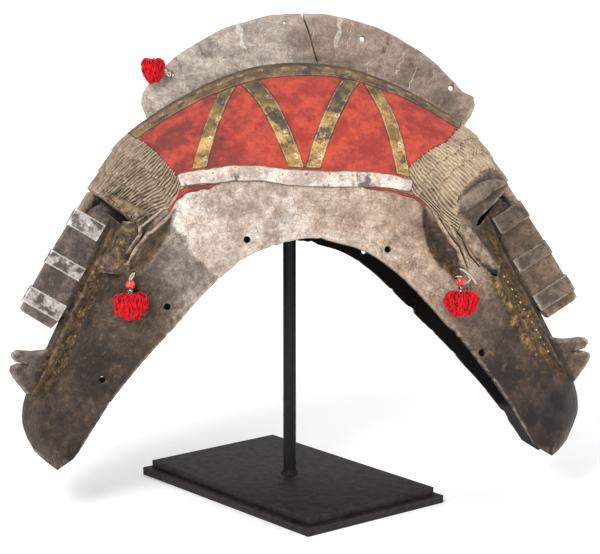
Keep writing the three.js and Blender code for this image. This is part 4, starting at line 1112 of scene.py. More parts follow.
# The lower border's edges, as places along the arch and heights on the dome
BORDER_FOOT = ([-0.415, -0.30, -0.13, 0, 0.07, 0.2, 0.345], [1.12, 1.05, 1.02, 0.98, 0.96, 0.97, 1.0])
BORDER_HEAD = ([-0.40, -0.31, -0.06, 0.06, 0.32], [1.20, 1.15, 1.08, 1.07, 1.075])
# Scraps of red cloth below the border, as [s, v, half width in v]
CLOTH_SCRAPS = [
    [(-0.29, 1.042, 0.01), (-0.34, 1.052, 0.016), (-0.40, 1.085, 0.02), (-0.43, 1.085, 0.022), (-0.455, 1.06, 0.018),
     (-0.482, 1.03, 0.01)],
    [(0.18, 0.955, 0.01), (0.24, 0.945, 0.018), (0.30, 0.945, 0.022), (0.35, 0.955, 0.022), (0.39, 0.935, 0.016),
     (0.408, 0.92, 0.008)],
]


def border_foot(s):
    return np.interp(s, *BORDER_FOOT)


def border_head(s):
    return np.interp(s, *BORDER_HEAD)


def cloth_grid(rows, foot, head, columns):
    """Places over a panel whose ends follow the hair."""
    share = np.linspace(0, 1, columns)[None, :]
    s = np.linspace(0, 1, rows)[:, None] + 0 * share
    for _ in range(4):
        v = foot(s) + (head(s) - foot(s)) * share
        left, right = -hair_start(-1, v) + 0.004, hair_start(1, v) - 0.004
        s = left + (right - left) * np.linspace(0, 1, rows)[:, None]
    return s, v


def skin(s, v, lift=0.0):
    """A point on the worn surface of the wood, or that far above it."""
    base = outer(s, v)
    bumps = 0.55 * rough(base, 26, 3) + 0.28 * rough(base, 8, 4)
    return base + facing(s, v) * (bumps + lift)[..., None]


def sheet(name, s, v, lift, thickness, side, creases=0.25, crease_size=9.0, seed=0):
    """A thin sheet over a grid of places on the dome; side is 1 for the near half and -1 for the far."""
    base = skin(s, v)
    base = base * np.array([1, side, 1])
    wave = creases * (rough(base, crease_size, seed + 11) + 0.6 * rough(base, crease_size * 0.4, seed + 12))
    out = facing(s, v) * np.array([1, side, 1])
    middle = np.maximum(wave, -0.2) + lift
    rows, columns = s.shape
    rim = np.ones((rows, columns))
    rim[[0, -1]] = rim[:, [0, -1]] = 0.25
    top = base + out * (middle + thickness * rim)[..., None]
    bottom = base + out * middle[..., None]
    points = np.concatenate([top.reshape(-1, 3), bottom.reshape(-1, 3)])
    count = rows * columns
    faces = quads(rows, columns, False)
    faces += [[n + count for n in reversed(face)] for face in faces]
    border = ([r * columns for r in range(rows)] + [(rows - 1) * columns + c for c in range(1, columns)]
              + [r * columns + columns - 1 for r in range(rows - 2, -1, -1)]
              + [c for c in range(columns - 2, 0, -1)])
    for a, b in zip(border, border[1:] + border[:1]):
        faces.append([a, b, b + count, a + count])
    thing = solid(name, standing(points), faces)
    size = (length_of(top, 0), length_of(top, 1))
    flat = thing.data.uv_layers.new(name="cloth")
    u = np.linspace(0, size[0], rows)[:, None] + 0 * s
    w = np.linspace(0, size[1], columns)[None, :] + 0 * s
    laid = np.tile(np.stack([u, w], -1).reshape(-1, 2), (2, 1)) / 1000
    in_from_hem = np.minimum(np.minimum(u, size[0] - u), np.minimum(w, size[1] - w))
    keep(thing.data, "hem", np.tile(np.clip(in_from_hem, 0, 6).ravel(), 2))
    loops = np.empty(len(thing.data.loops), np.int32)
    thing.data.loops.foreach_get("vertex_index", loops)
    flat.data.foreach_set("uv", laid[loops].ravel())
    thing.data.shade_smooth()
    return thing, size


def length_of(points, axis):
    """The mean length in millimetres of a grid's lines along one way."""
    return float(np.linalg.norm(np.diff(points, axis=axis), axis=-1).sum(axis=axis).mean())


# Plain weave: threads over and under each other, as heights and as light and dark
weave, given, result = group("weave", {"Cloth": None, "Threads": 900.0}, ["Height", "Shade"])
across = put(weave, "ShaderNodeSeparateXYZ", {0: given["Cloth"]}).outputs
turn_x = sums(weave, "SINE", times(weave, across[0], times(weave, given["Threads"], math.pi)))
turn_y = sums(weave, "SINE", times(weave, across[1], times(weave, given["Threads"], math.pi)))
weave.links.new(times(weave, sums(weave, "ABSOLUTE", turn_x), sums(weave, "ABSOLUTE", turn_y)),
                result["Height"])
weave.links.new(ramp(weave, times(weave, turn_x, turn_y), -0.6, 0.6), result["Shade"])


def cloth_material(name, dark, light, stain, threads=900.0):
    """Old pasted cotton; gives back the tree, its colour and its UV place, for a print to go on."""
    material, tree, surface = new_material(name)
    laid = put(tree, "ShaderNodeUVMap", uv_map="cloth").outputs[0]
    where = put(tree, "ShaderNodeTexCoord").outputs["Object"]
    worn_through = spots_of(tree, where, 55.0, 5.0, 0.65)
    fine = spots_of(tree, where, 260.0, 4.0, 0.7)
    threads_seen = use(tree, weave, {"Cloth": laid, "Threads": threads})
    colour = mixed(tree, ramp(tree, worn_through, 0.36, 0.64), dark, light)
    colour = mixed(tree, ramp(tree, fine, 0.52, 0.72, 0.0, 0.75), colour, stain)
    colour = mixed(tree, times(tree, threads_seen["Shade"], 0.16), colour, dark)
    surface["Roughness"].default_value = 0.92
    height = plus(tree, times(tree, threads_seen["Height"], 0.5), fine)
    tree.links.new(put(tree, "ShaderNodeBump", {"Strength": 0.5, "Distance": 0.0005, "Height": height}).outputs[0],
                   surface["Normal"])
    tree.links.new(colour, surface["Base Color"])
    return material, tree, surface, colour, laid, where


red_cotton, tree, surface, colour, laid, where = cloth_material(
    "red cotton", paint(142, 47, 38), paint(184, 69, 53), paint(108, 46, 38), 700.0)
to_left = ramp(tree, put(tree, "ShaderNodeSeparateXYZ", {0: where}).outputs[0], -0.075, -0.02, 1.0, 0.0)
stained = ramp(tree, spots_of(tree, where, 38.0, 5.0, 0.7), 0.4, 0.6)
colour = mixed(tree, times(tree, to_left, times(tree, stained, 0.8)), colour, paint(94, 44, 40))
glowing = ramp(tree, spots_of(tree, where, 62.0, 4.0, 0.6), 0.60, 0.74, 0.0, 0.6)
glowing = times(tree, glowing, minus(tree, 1.0, to_left))
colour = mixed(tree, glowing, colour, paint(204, 84, 44))
# Thin dark lines along creases: painted shade in creases finer than the sheet's own folds
creased = put(tree, "ShaderNodeTexNoise", {"Vector": where, "Scale": 30.0, "Detail": 4.0, "Roughness": 0.6,
                                           "Distortion": 1.8}).outputs[0]
creased = sums(tree, "ABSOLUTE", minus(tree, creased, 0.5))
colour = mixed(tree, ramp(tree, creased, 0.0, 0.012, 0.45, 0.0), colour, paint(84, 30, 26))
colour = mixed(tree, ramp(tree, kept(tree, "hem").outputs["Fac"], 0.2, 1.6, 0.7, 0.0), colour, paint(70, 32, 28))
tree.links.new(colour, surface["Base Color"])

for side, side_name in ((1, "near"), (-1, "far")):
    s, v = cloth_grid(161, lambda s: border_foot(s) + 0.02, lambda s: CLOTH_TOP + 0 * s, 45)
    panel, size = sheet(f"red-cloth-{side_name}", s, v, CLOTH_LIFT, CLOTH_THICKNESS, side, 0.3, 10, 0)
    panel.data.materials.append(red_cotton)
    for number, path in enumerate(CLOTH_SCRAPS):
        path = np.array(path)
        at = np.linspace(0, len(path) - 1, 70)
        s, v, half = [np.interp(at, np.arange(len(path)), path[:, n])[:, None] for n in range(3)]
        ragged = half * (0.75 + 1.1 * rough(outer(s, v), 9, 21 + number))
        across = np.linspace(-1, 1, 7)[None, :]
        v = v + np.where(across < 0, ragged, half) * across
        scrap, _ = sheet(f"cloth-scrap-{side_name}-{number}", s + 0 * v, v, 0.5, 0.6, side, 0.35, 4, 30 + number)
        scrap.data.materials.append(red_cotton)
        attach(scrap, "root")
    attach(panel, "root")
    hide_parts(f"red_cloth_{side_name}")

# Borders and slanting strips of printed cotton
# Narrow strips of old dress cloth with small flowers, pasted over the red panels: one along the
# lower edge, one along the foot of the crest, and four that cross between them.
STRIP_LIFT = 1.35
STRIP_THICKNESS = 0.8
UPPER_BORDER = (1.667, 1.917)
STRIPS = [(-0.338, -0.195, 0.024), (-0.038, -0.135, 0.026), (0.012, 0.128, 0.024), (0.303, 0.182, 0.024)]
FLOWER_STEP = 0.022


def flowers(tree, laid, colour, petals, spread, size=0.0036):
    """Small five-petalled flowers in a row, each a little off the middle and faded differently."""
    across = put(tree, "ShaderNodeSeparateXYZ", {0: laid}).outputs
    along = sums(tree, "DIVIDE", across[0], FLOWER_STEP)
    cell = sums(tree, "FLOOR", along)
    shift = put(tree, "ShaderNodeTexWhiteNoise", {"W": cell}, noise_dimensions="1D")
    x = times(tree, minus(tree, sums(tree, "FRACT", along), 0.5), FLOWER_STEP)
    y = minus(tree, across[1], times(tree, shift.outputs["Value"], 0.004))
    y = minus(tree, y, spread)
    angle = times(tree, sums(tree, "ARCTAN2", y, x), 5.0)
    edge = times(tree, plus(tree, times(tree, sums(tree, "COSINE", angle), 0.12), 0.85),
                size)
    out = sums(tree, "SQRT", plus(tree, times(tree, x, x), times(tree, y, y)))
    share = sums(tree, "DIVIDE", out, edge)
    faded = spots_of(tree, laid, 420.0, 3.0, 0.7)
    print_share = times(tree, ramp(tree, share, 0.75, 1.15, 0.85, 0.0), ramp(tree, faded, 0.36, 0.56))
    colour = mixed(tree, print_share, colour, petals)
    heart = ramp(tree, share, 0.22, 0.36, 1.0, 0.0)
    return mixed(tree, times(tree, heart, ramp(tree, faded, 0.36, 0.5)), colour, paint(150, 72, 52))


def printed(name, dark, light, stain, petals, middle, soiled):
    """Printed cotton; soiled is how far up its length or width it darkens, as [from, to, 0 or 1]."""
    material, tree, surface, colour, laid, where = cloth_material(name, dark, light, stain)
    colour = flowers(tree, laid, colour, petals, middle)
    blots = spots_of(tree, where, 40.0, 5.0, 0.7)
    if soiled:
        along = put(tree, "ShaderNodeSeparateXYZ", {0: laid}).outputs[soiled[2]]
        dirty = times(tree, ramp(tree, along, *soiled[:2]), ramp(tree, blots, 0.36, 0.5, 0.35, 0.85))
        colour = mixed(tree, dirty, colour, paint(62, 52, 38))
    colour = mixed(tree, ramp(tree, blots, 0.53, 0.6, 0.0, 0.85), colour, paint(50, 50, 52))
    leaves = put(tree, "ShaderNodeTexVoronoi", {"Vector": laid, "Scale": 260.0},
                 feature="DISTANCE_TO_EDGE").outputs[0]
    colour = mixed(tree, ramp(tree, leaves, 0.02, 0.09, 0.5, 0.0), colour, stain)
    hem = kept(tree, "hem").outputs["Fac"]
    fold = sums(tree, "ABSOLUTE", minus(tree, hem, 1.7))
    frayed = ramp(tree, spots_of(tree, where, 130.0, 4.0, 0.7), 0.44, 0.6, 0.05, 0.42)
    colour = mixed(tree, times(tree, ramp(tree, fold, 0.1, 0.8, 1.0, 0.0), frayed), colour, petals)
    colour = mixed(tree, ramp(tree, hem, 0.2, 1.1, 0.75, 0.0), colour, paint(44, 36, 28))
    tree.links.new(colour, surface["Base Color"])
    return material


ochre_print = printed("ochre print", paint(124, 94, 52), paint(206, 168, 108), paint(84, 70, 48),
                      paint(224, 204, 158), 0.0105, (0.02, 0.11, 0))
olive_print = printed("olive print", paint(86, 68, 48), paint(140, 112, 78), paint(62, 52, 42),
                      paint(184, 160, 116), 0.014, (0.016, 0.032, 1))
silver_print = printed("pale print", paint(164, 150, 140), paint(222, 212, 200), paint(140, 112, 98),
                       paint(226, 196, 170), 0.0095, None)


def lay_strip(node, s, v, side, material, seed):
    strip, size = sheet(node.replace("_", "-"), s, v, STRIP_LIFT, STRIP_THICKNESS, side, 0.25, 7, seed)
    strip.data.materials.append(material)
    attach(strip, "root")
    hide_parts(node)


for side, side_name in ((1, "near"), (-1, "far")):
    along = np.linspace(-0.41, 0.34, 161)[:, None]
    share = np.linspace(0, 1, 8)[None, :]
    uneven = 0.007 * rough(np.stack([along * 300 + side, along * 0, along * 0], -1), 11, 5)
    v = border_foot(along) + uneven + (border_head(along) - border_foot(along)) * share
    lay_strip(f"lower_border_{side_name}", along + 0 * share, v, side, silver_print, 40)
    share = np.linspace(0, 1, 12)[None, :]
    s, v = cloth_grid(161, lambda s: UPPER_BORDER[0] + 0 * s, lambda s: UPPER_BORDER[1] + 0 * s, 12)
    lay_strip(f"upper_border_{side_name}", s, v + uneven, side, olive_print, 43)
    for number, (foot, head, half) in enumerate(STRIPS, 1):
        at = np.linspace(0, 1, 48)[:, None]
        wide = np.linspace(-half, half, 9)[None, :]
        uneven = 0.0025 * rough(np.stack([at * 60, at * 0 + number, at * 0], -1), 11, 6)
        s = foot + (head - foot) * at + wide + uneven
        v = border_head(s) + 0.008 + (UPPER_BORDER[0] - 0.008 - border_head(s) - 0.008) * at
        lay_strip(f"strip_{side_name}_{number}", s, v, side, ochre_print, 46 + number)

# Metal bands round the noses
# Thin sheet, cut from tins, folded round the front edge and hammered down; three to each nose.
NOSE_BANDS = [(19, 38), (66, 81), (107, 125)]
BAND_THICKNESS = 0.8
BAND_BOW = 1.8
BAND_BEND = 1.8
BAND_DEPTHS = (32.5, 37, 39)
BAND_GAP = 0.3


def band_place(side, along, out, y):
    top, foot = np.array(NOSE_FRONT[0]), np.array(NOSE_FRONT[2])
    down = (foot - top) / np.linalg.norm(foot - top)
    front = np.array([-down[1], down[0]])
    at = top + down * along[..., None] + front * out[..., None]
    return np.stack([at[..., 0] * side, y, at[..., 1]], -1)


def nose_band(side, number, start, end):
    half = NOSE_HALF + BAND_GAP
    steps = 9
    flank = np.linspace(-BAND_DEPTHS[number - 1], BAND_BOW - BAND_BEND, 12)
    bend = np.linspace(0, math.pi / 2, steps)
    out = np.concatenate([flank, BAND_BOW - BAND_BEND + BAND_BEND * np.sin(bend)[1:]])
    y = np.concatenate([np.full(12, half), half - BAND_BEND * (1 - np.cos(bend))[1:]])
    normal_out = np.concatenate([np.zeros(12), np.sin(bend)[1:]])
    normal_y = np.concatenate([np.ones(12), np.cos(bend)[1:]])
    out, y = np.concatenate([out, out[::-1]]), np.concatenate([-y, y[::-1]])
    normal_out = np.concatenate([normal_out, normal_out[::-1]])
    normal_y = np.concatenate([-normal_y, normal_y[::-1]])
    across = np.linspace(0, 1, 21)[:, None]
    width = end - start
    along = start + across * width + 0 * out[None, :]
    spot = band_place(side, along, out[None, :] + 0 * along, y[None, :] + 0 * along)
    dents = 0.5 * rough(spot, 7, 60 + number + side) + 0.35 * rough(spot, 3.5, 70 + number + side)
    dents = np.minimum(dents, 0.25) * smooth(np.minimum(across, 1 - across), 0, 0.2)
    rise = np.maximum(BAND_THICKNESS + dents, 0.35)
    top = band_place(side, along, out[None, :] + normal_out[None, :] * rise, y[None, :] + normal_y[None, :] * rise)
    points = np.concatenate([top.reshape(-1, 3), spot.reshape(-1, 3)])
    rows, columns = along.shape
    count = rows * columns
    faces = quads(rows, columns, False)
    faces += [[n + count for n in reversed(face)] for face in faces]
    border = ([r * columns for r in range(rows)] + [(rows - 1) * columns + c for c in range(1, columns)]
              + [r * columns + columns - 1 for r in range(rows - 2, -1, -1)] + [c for c in range(columns - 2, 0, -1)])
    for a, b in zip(border, border[1:] + border[:1]):
        faces.append([a, b, b + count, a + count])
    band = solid(f"nose-band-{'left' if side < 0 else 'right'}-{number}", standing(points), faces)
    keep(band.data, "worn", np.clip(-bends(band.data) * 5 - 0.2, 0, 1))
    in_from_cut = np.minimum(across, 1 - across) * width + 0 * out[None, :]
    keep(band.data, "hem", np.tile(in_from_cut.ravel(), 2))
    band.data.shade_smooth()
    band.data.set_sharp_from_angle(angle=math.radians(50))
    return band


def tin(name, dark, light, metal_share):
    """Old tinned sheet: bright where it is rubbed, brown and dull elsewhere."""
    material, tree, surface = new_material(name)
    where = put(tree, "ShaderNodeTexCoord").outputs["Object"]
    dull = spots_of(tree, where, 95.0, 5.0, 0.65)
    fine = spots_of(tree, where, 480.0, 3.0, 0.6)
    share = ramp(tree, dull, 0.40, 0.62)
    colour = mixed(tree, share, dark, light)
    colour = mixed(tree, ramp(tree, fine, 0.55, 0.7, 0.0, 0.6), colour, paint(70, 56, 46))
    cut = kept(tree, "hem").outputs["Fac"]
    burr = sums(tree, "ABSOLUTE", minus(tree, cut, 1.3))
    colour = mixed(tree, ramp(tree, burr, 0.1, 0.7, 0.7, 0.0), colour, light)
    colour = mixed(tree, ramp(tree, cut, 0.1, 0.8, 0.95, 0.0), colour, paint(30, 24, 20))
    rubbed = use(tree, wear, {"Where": where, "Edge": kept(tree, "worn").outputs["Fac"], "Amount": 0.35})["Rubbed"]
    colour = mixed(tree, rubbed, colour, paint(214, 206, 196))
    tree.links.new(colour, surface["Base Color"])
    tree.links.new(ramp(tree, plus(tree, share, rubbed), 0.0, 1.0, metal_share * 0.3, metal_share),
                   surface["Metallic"])
    tree.links.new(ramp(tree, dull, 0.4, 0.65, 0.55, 0.3), surface["Roughness"])
    tree.links.new(put(tree, "ShaderNodeBump", {"Strength": 0.3, "Distance": 0.0006, "Height": dull}).outputs[0],
                   surface["Normal"])
    return material


bright_tin = tin("bright tin", paint(76, 66, 62), paint(206, 198, 192), 0.85)
dull_tin = tin("dull tin", paint(74, 62, 50), paint(130, 114, 98), 0.5)
for side, side_name, finish in ((-1, "left", bright_tin), (1, "right", dull_tin)):
    for number, (start, end) in enumerate(NOSE_BANDS, 1):
        band = nose_band(side, number, start, end)
        band.data.materials.append(finish)
        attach(band, "root")
        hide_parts(f"nose_band_{side_name}_{number}")

# Wool tassels
# Skeins of red wool looped over a cotton cord and tied, one before each ear and one at the left tip
# of the crest. The cord runs through a red glass bead and a metal one, and ends in a knot.
WOOL_RADIUS = 0.0007
LOOPS = 380
LOOP_RADIUS = 0.009
POMPOMS = {"left": ((-172, -91.5, -52), (34, 27, 20)), "right": ((144, -97, -56), (35, 28, 20)),
           "crest": ((-144, -16.3, 178), (24, 24, 20))}


yarn_loops, given, result = tree_with("yarn loops", {
    "Count": "NodeSocketInt", "Loop": "NodeSocketFloat", "Yarn": "NodeSocketFloat", "Seed": "NodeSocketInt",
    "Finish": "NodeSocketMaterial"})


def random_between(low, high, seed):
    return put(yarn_loops, "FunctionNodeRandomValue", {0: low, 1: high, "Seed": sums_of(seed)},
               data_type="FLOAT_VECTOR").outputs[0]


def sums_of(extra):
    return put(yarn_loops, "ShaderNodeMath", {0: given["Seed"], 1: float(extra)}, operation="ADD").outputs[0]


ring = put(yarn_loops, "GeometryNodeCurvePrimitiveCircle", {"Resolution": 20, "Radius": given["Loop"]}).outputs[0]
shift = put(yarn_loops, "ShaderNodeCombineXYZ", {"X": given["Loop"]}).outputs[0]
ring = put(yarn_loops, "GeometryNodeTransform", {"Geometry": ring, "Rotation": (math.pi / 2, 0, 0),
                                                 "Translation": shift, "Scale": (1, 0.55, 1)}).outputs[0]
starts = put(yarn_loops, "GeometryNodePoints", {"Count": given["Count"]}).outputs[0]
loops = put(yarn_loops, "GeometryNodeInstanceOnPoints", {
    "Points": starts, "Instance": ring,
    "Rotation": put(yarn_loops, "FunctionNodeEulerToRotation", {
        0: random_between((-0.5, -0.1, 0), (0.5, 1.25, 2 * math.pi), 1)}).outputs[0],
    "Scale": random_between((0.86, 0.8, 0.8), (1.04, 1.2, 1.2), 2)}).outputs[0]
loops = put(yarn_loops, "GeometryNodeRealizeInstances", {0: loops}).outputs[0]
kink = put(yarn_loops, "ShaderNodeTexNoise", {"Scale": 170.0, "Detail": 2.0}).outputs["Color"]
kink = put(yarn_loops, "ShaderNodeVectorMath", {0: kink, 1: (0.5, 0.5, 0.5)}, operation="SUBTRACT").outputs[0]
kink = put(yarn_loops, "ShaderNodeVectorMath", {0: kink, "Scale": 0.0022}, operation="SCALE").outputs[0]
loops = put(yarn_loops, "GeometryNodeSetPosition", {"Geometry": loops, "Offset": kink}).outputs[0]
thread = put(yarn_loops, "GeometryNodeCurvePrimitiveCircle", {"Resolution": 5, "Radius": given["Yarn"]}).outputs[0]
yarn = put(yarn_loops, "GeometryNodeCurveToMesh", {"Curve": loops, "Profile Curve": thread}).outputs[0]
heart = put(yarn_loops, "GeometryNodeMeshUVSphere", {"Segments": 16, "Rings": 10, "Radius": given["Loop"]}).outputs[0]
heart = put(yarn_loops, "GeometryNodeTransform", {
    "Geometry": heart, "Translation": (0, 0, -0.005), "Scale": (1.35, 1.35, 0.95)}).outputs[0]
whole = put(yarn_loops, "GeometryNodeJoinGeometry")
for part in (yarn, heart):
    yarn_loops.links.new(part, whole.inputs[0])
yarn = whole.outputs[0]
yarn = put(yarn_loops, "GeometryNodeSetMaterial", {"Geometry": yarn, "Material": given["Finish"]}).outputs[0]
yarn_loops.links.new(yarn, result["Geometry"])

red_wool, tree, surface = new_material("red wool")
where = put(tree, "ShaderNodeTexCoord").outputs["Object"]
colour = mixed(tree, ramp(tree, spots_of(tree, where, 300.0, 3.0), 0.35, 0.65), paint(158, 3, 16), paint(228, 10, 30))
tree.links.new(colour, surface["Base Color"])
surface["Roughness"].default_value = 0.85
surface["Sheen Weight"].default_value = 0.08
surface["Specular IOR Level"].default_value = 0.2
tree.links.new(put(tree, "ShaderNodeBump", {"Strength": 0.5, "Distance": 0.0004, "Height": spots_of(
    tree, where, 2600.0, 2.0)}).outputs[0], surface["Normal"])


def fitted(thing, low, high):
    """Moves and stretches a mesh to fill a box, but for a few loops that stick out."""
    at = all_of(thing.data.vertices, "co", 3)
    ends = np.array([np.percentile(at[:, n], (0, 100) if n < 2 else (2, 98)) for n in range(3)]).T
    at = (at - ends[0]) / (ends[1] - ends[0]) * (high - low) + low
    thing.data.vertices.foreach_set("co", at.ravel())


for number, (name, (middle, size)) in enumerate(POMPOMS.items()):
    wool = grown(f"tassel-wool-{name}", yarn_loops, {
        "Count": LOOPS, "Loop": LOOP_RADIUS, "Yarn": WOOL_RADIUS, "Seed": 5 + number, "Finish": red_wool})
    fitted(wool, np.array(middle) - np.array(size) / 2, np.array(middle) + np.array(size) / 2)
    wool.data.vertices.foreach_set("co", standing(all_of(wool.data.vertices, "co", 3)).ravel())
    wool.data.shade_smooth()
    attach(wool, "root")
    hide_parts(f"pompom_{name}")


twisted_cord, given, result = tree_with("twisted cord", {
    "Radius": "NodeSocketFloat", "Turn": "NodeSocketFloat", "Finish": "NodeSocketMaterial"})
given_path = twisted_cord.nodes["Group Input"].outputs["Geometry"]
line = put(twisted_cord, "GeometryNodeMeshToCurve", {"Mesh": given_path}).outputs[0]
line = put(twisted_cord, "GeometryNodeResampleCurve", {"Curve": line, "Length": 0.0005}, mode="LENGTH").outputs[0]
run = put(twisted_cord, "GeometryNodeSplineParameter").outputs["Length"]
turned = put(twisted_cord, "ShaderNodeMath", {0: run, 1: given["Turn"]}, operation="MULTIPLY").outputs[0]
line = put(twisted_cord, "GeometryNodeSetCurveTilt", {"Curve": line, "Tilt": turned}).outputs[0]
section = put(twisted_cord, "GeometryNodeCurvePrimitiveCircle", {
    "Resolution": 12, "Radius": given["Radius"]}).outputs[0]
spot = put(twisted_cord, "ShaderNodeSeparateXYZ", {
    0: put(twisted_cord, "GeometryNodeInputPosition").outputs[0]}).outputs
lobe = put(twisted_cord, "ShaderNodeMath", {0: put(twisted_cord, "ShaderNodeMath", {
    0: spot[1], 1: spot[0]}, operation="ARCTAN2").outputs[0], 1: 2.0}, operation="MULTIPLY").outputs[0]
lobe = put(twisted_cord, "ShaderNodeMath", {0: lobe}, operation="COSINE").outputs[0]
lobe = put(twisted_cord, "ShaderNodeMath", {0: lobe, 1: 0.22, 2: 0.9}, operation="MULTIPLY_ADD").outputs[0]
lobed = put(twisted_cord, "ShaderNodeVectorMath", {
    0: put(twisted_cord, "GeometryNodeInputPosition").outputs[0], "Scale": lobe}, operation="SCALE").outputs[0]
section = put(twisted_cord, "GeometryNodeSetPosition", {"Geometry": section, "Position": lobed}).outputs[0]
rope = put(twisted_cord, "GeometryNodeCurveToMesh", {
    "Curve": line, "Profile Curve": section, "Fill Caps": True}).outputs[0]
rope = put(twisted_cord, "GeometryNodeSetShadeSmooth", {"Geometry": rope}).outputs[0]
rope = put(twisted_cord, "GeometryNodeSetMaterial", {"Geometry": rope, "Material": given["Finish"]}).outputs[0]
twisted_cord.links.new(rope, result["Geometry"])

cotton, tree, surface = new_material("cotton cord")
where = put(tree, "ShaderNodeTexCoord").outputs["Object"]
tree.links.new(mixed(tree, spots_of(tree, where, 500.0, 3.0), paint(176, 158, 138), paint(226, 214, 196)),
               surface["Base Color"])
surface["Roughness"].default_value = 0.9
red_glass, tree, surface = new_material("red glass")
where = put(tree, "ShaderNodeTexCoord").outputs["Object"]
tree.links.new(mixed(tree, ramp(tree, spots_of(tree, where, 420.0, 3.0), 0.4, 0.65), paint(176, 44, 30),
                     paint(226, 104, 72)), surface["Base Color"])
surface["Roughness"].default_value = 0.25
bead_metal, tree, surface = new_material("bead metal")
where = put(tree, "ShaderNodeTexCoord").outputs["Object"]
spotted = spots_of(tree, where, 380.0, 3.0)
tree.links.new(mixed(tree, ramp(tree, spotted, 0.4, 0.6), paint(40, 40, 44), paint(190, 190, 194)),
               surface["Base Color"])
tree.links.new(ramp(tree, spotted, 0.4, 0.6, 0.3, 0.95), surface["Metallic"])
surface["Roughness"].default_value = 0.3


def smooth_path(points, steps=12):
    """A curve through the points."""
    points = np.array(points, float)
    padded = np.concatenate([2 * points[:1] - points[1:2], points, 2 * points[-1:] - points[-2:-1]])
    result = []
    for a, b, c, d in zip(padded, padded[1:], padded[2:], padded[3:]):
        for t in np.linspace(0, 1, steps, endpoint=False):
            result.append(0.5 * (2 * b + (c - a) * t + (2 * a - 5 * b + 4 * c - d) * t * t
                                 + (3 * b - a - 3 * c + d) * t**3))
    return np.array(result + [points[-1]])


THIN_CORD = 0.0007
THICK_CORD = 0.0009


def tie(name, points, radius, node=None):
    """A short twisted cord through points in the mask's frame."""
    path = standing(smooth_path(points))
    base = line_mesh(name, path)
    rope = grown(name, twisted_cord, {"Radius": radius, "Turn": 1900.0, "Finish": cotton}, base)
    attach(rope, "root")
    if node:
        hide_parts(node)


def turned_bead(name, at, profile, finish, node, sides=28):
    """A bead from a profile of [radius, height], its hole running through it."""
    angles = np.linspace(0, 2 * math.pi, sides, endpoint=False)
    ring = np.array([[(r * math.cos(a), r * math.sin(a), z) for a in angles] for r, z in profile])
    ring += 0.12 * rough(ring + np.array(at), 2.5, 80)[..., None]
    faces = quads(len(profile), sides, True)
    faces += [[(len(profile) - 1) * sides + i, (len(profile) - 1) * sides + (i + 1) % sides, (i + 1) % sides, i]
              for i in range(sides)]
    bead = solid(name, standing(ring.reshape(-1, 3) + np.array(at)), faces)
    bead.data.materials.append(finish)
    bead.data.shade_smooth()
    bead.data.set_sharp_from_angle(angle=math.radians(55))
    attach(bead, "root")
    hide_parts(node)


GLASS_PROFILE = [(1.0, -3.6), (2.6, -3.9), (4.0, -2.6), (4.5, -0.6), (4.4, 1.0), (3.7, 2.9), (2.3, 4.0), (1.0, 3.7)]
METAL_PROFILE = [(0.9, -2.9), (2.3, -3.0), (2.6, -2.5), (2.6, -0.4), (2.35, -0.2), (2.35, 0.2), (2.6, 0.4),
                 (2.6, 2.5), (2.3, 3.0), (0.9, 2.9)]
for name, side in (("left", -1), ("right", 1)):
    (x, y, z), (width, tall, thick) = POMPOMS[name]
    metal_z = z + tall / 2 * 0.7 + 0.3 + 3
    glass_z = metal_z + 3 + 0.3 + 4.5
    turned_bead(f"metal-bead-{name}", (x, y, metal_z), METAL_PROFILE, bead_metal, f"metal_bead_{name}")
    turned_bead(f"glass-bead-{name}", (x, y, glass_z), GLASS_PROFILE, red_glass, f"red_bead_{name}")
    hole = outer(*EAR_HOLES[side])
    top = glass_z + 3.6
    for strand in (-0.75, 0.75):
        tie(f"cord-{name}-{'a' if strand < 0 else 'b'}", [
            (x + strand * 0.5, y, z + 4), (x + strand * 0.5, y, metal_z), (x + strand, y, top),
            ((x + hole[0]) / 2 + strand * 1.6, y - 0.5, (top + hole[2]) / 2 + 1),
            (hole[0] + strand, hole[1] - 2.0, hole[2] + 0.5), (hole[0] + strand * 0.6, hole[1] + 6, hole[2])],
            THIN_CORD, f"cord_{name}" if strand < 0 else None)

# The right ear's cord was mended: it is knotted round the end of the ear's rim, and one end hangs free
rim_x, rim_y, rim_z = outer(0.612, 0.615)
tie("mended-loop", [(rim_x - 4, rim_y - 2, rim_z + 3), (rim_x - 1, rim_y - 7, rim_z + 1),
                    (rim_x + 2.5, rim_y - 4, rim_z - 3), (rim_x + 5, rim_y - 3.5, rim_z - 8),
                    (rim_x - 1, rim_y - 4, rim_z - 11), (rim_x - 6, rim_y - 3, rim_z - 7)], THICK_CORD)
tie("mended-end", [(rim_x - 2, rim_y - 4, rim_z + 2), (rim_x + 1, rim_y - 7.5, rim_z - 1),
                   (rim_x + 6, rim_y - 5, rim_z - 5), (rim_x + 11, rim_y - 3.5, rim_z - 12)], THICK_CORD)
hole_x, hole_z = CREST_HOLES[0]
(x, y, z), (width, tall, thick) = POMPOMS["crest"]
tie("cord-crest", [(x + 6, y, z + 3), (x + width / 2 - 1, y + 1, z - 1), (x + width / 2 + 3, y + 3, z - 2),
                   (hole_x - 2, -CREST_THICKNESS / 2 - 3, hole_z + 1), (hole_x, -2, hole_z), (hole_x, 9, hole_z)],
    THICK_CORD, "cord_crest")
side_x = x + width / 2
tie("crest-knot", [(side_x - 2, y - 1, z + 2), (side_x + 1, y - 3, z - 1), (side_x + 1, y + 3, z - 3),
                   (side_x - 2, y + 2, z), (side_x + 4, y, z - 6)], THICK_CORD)

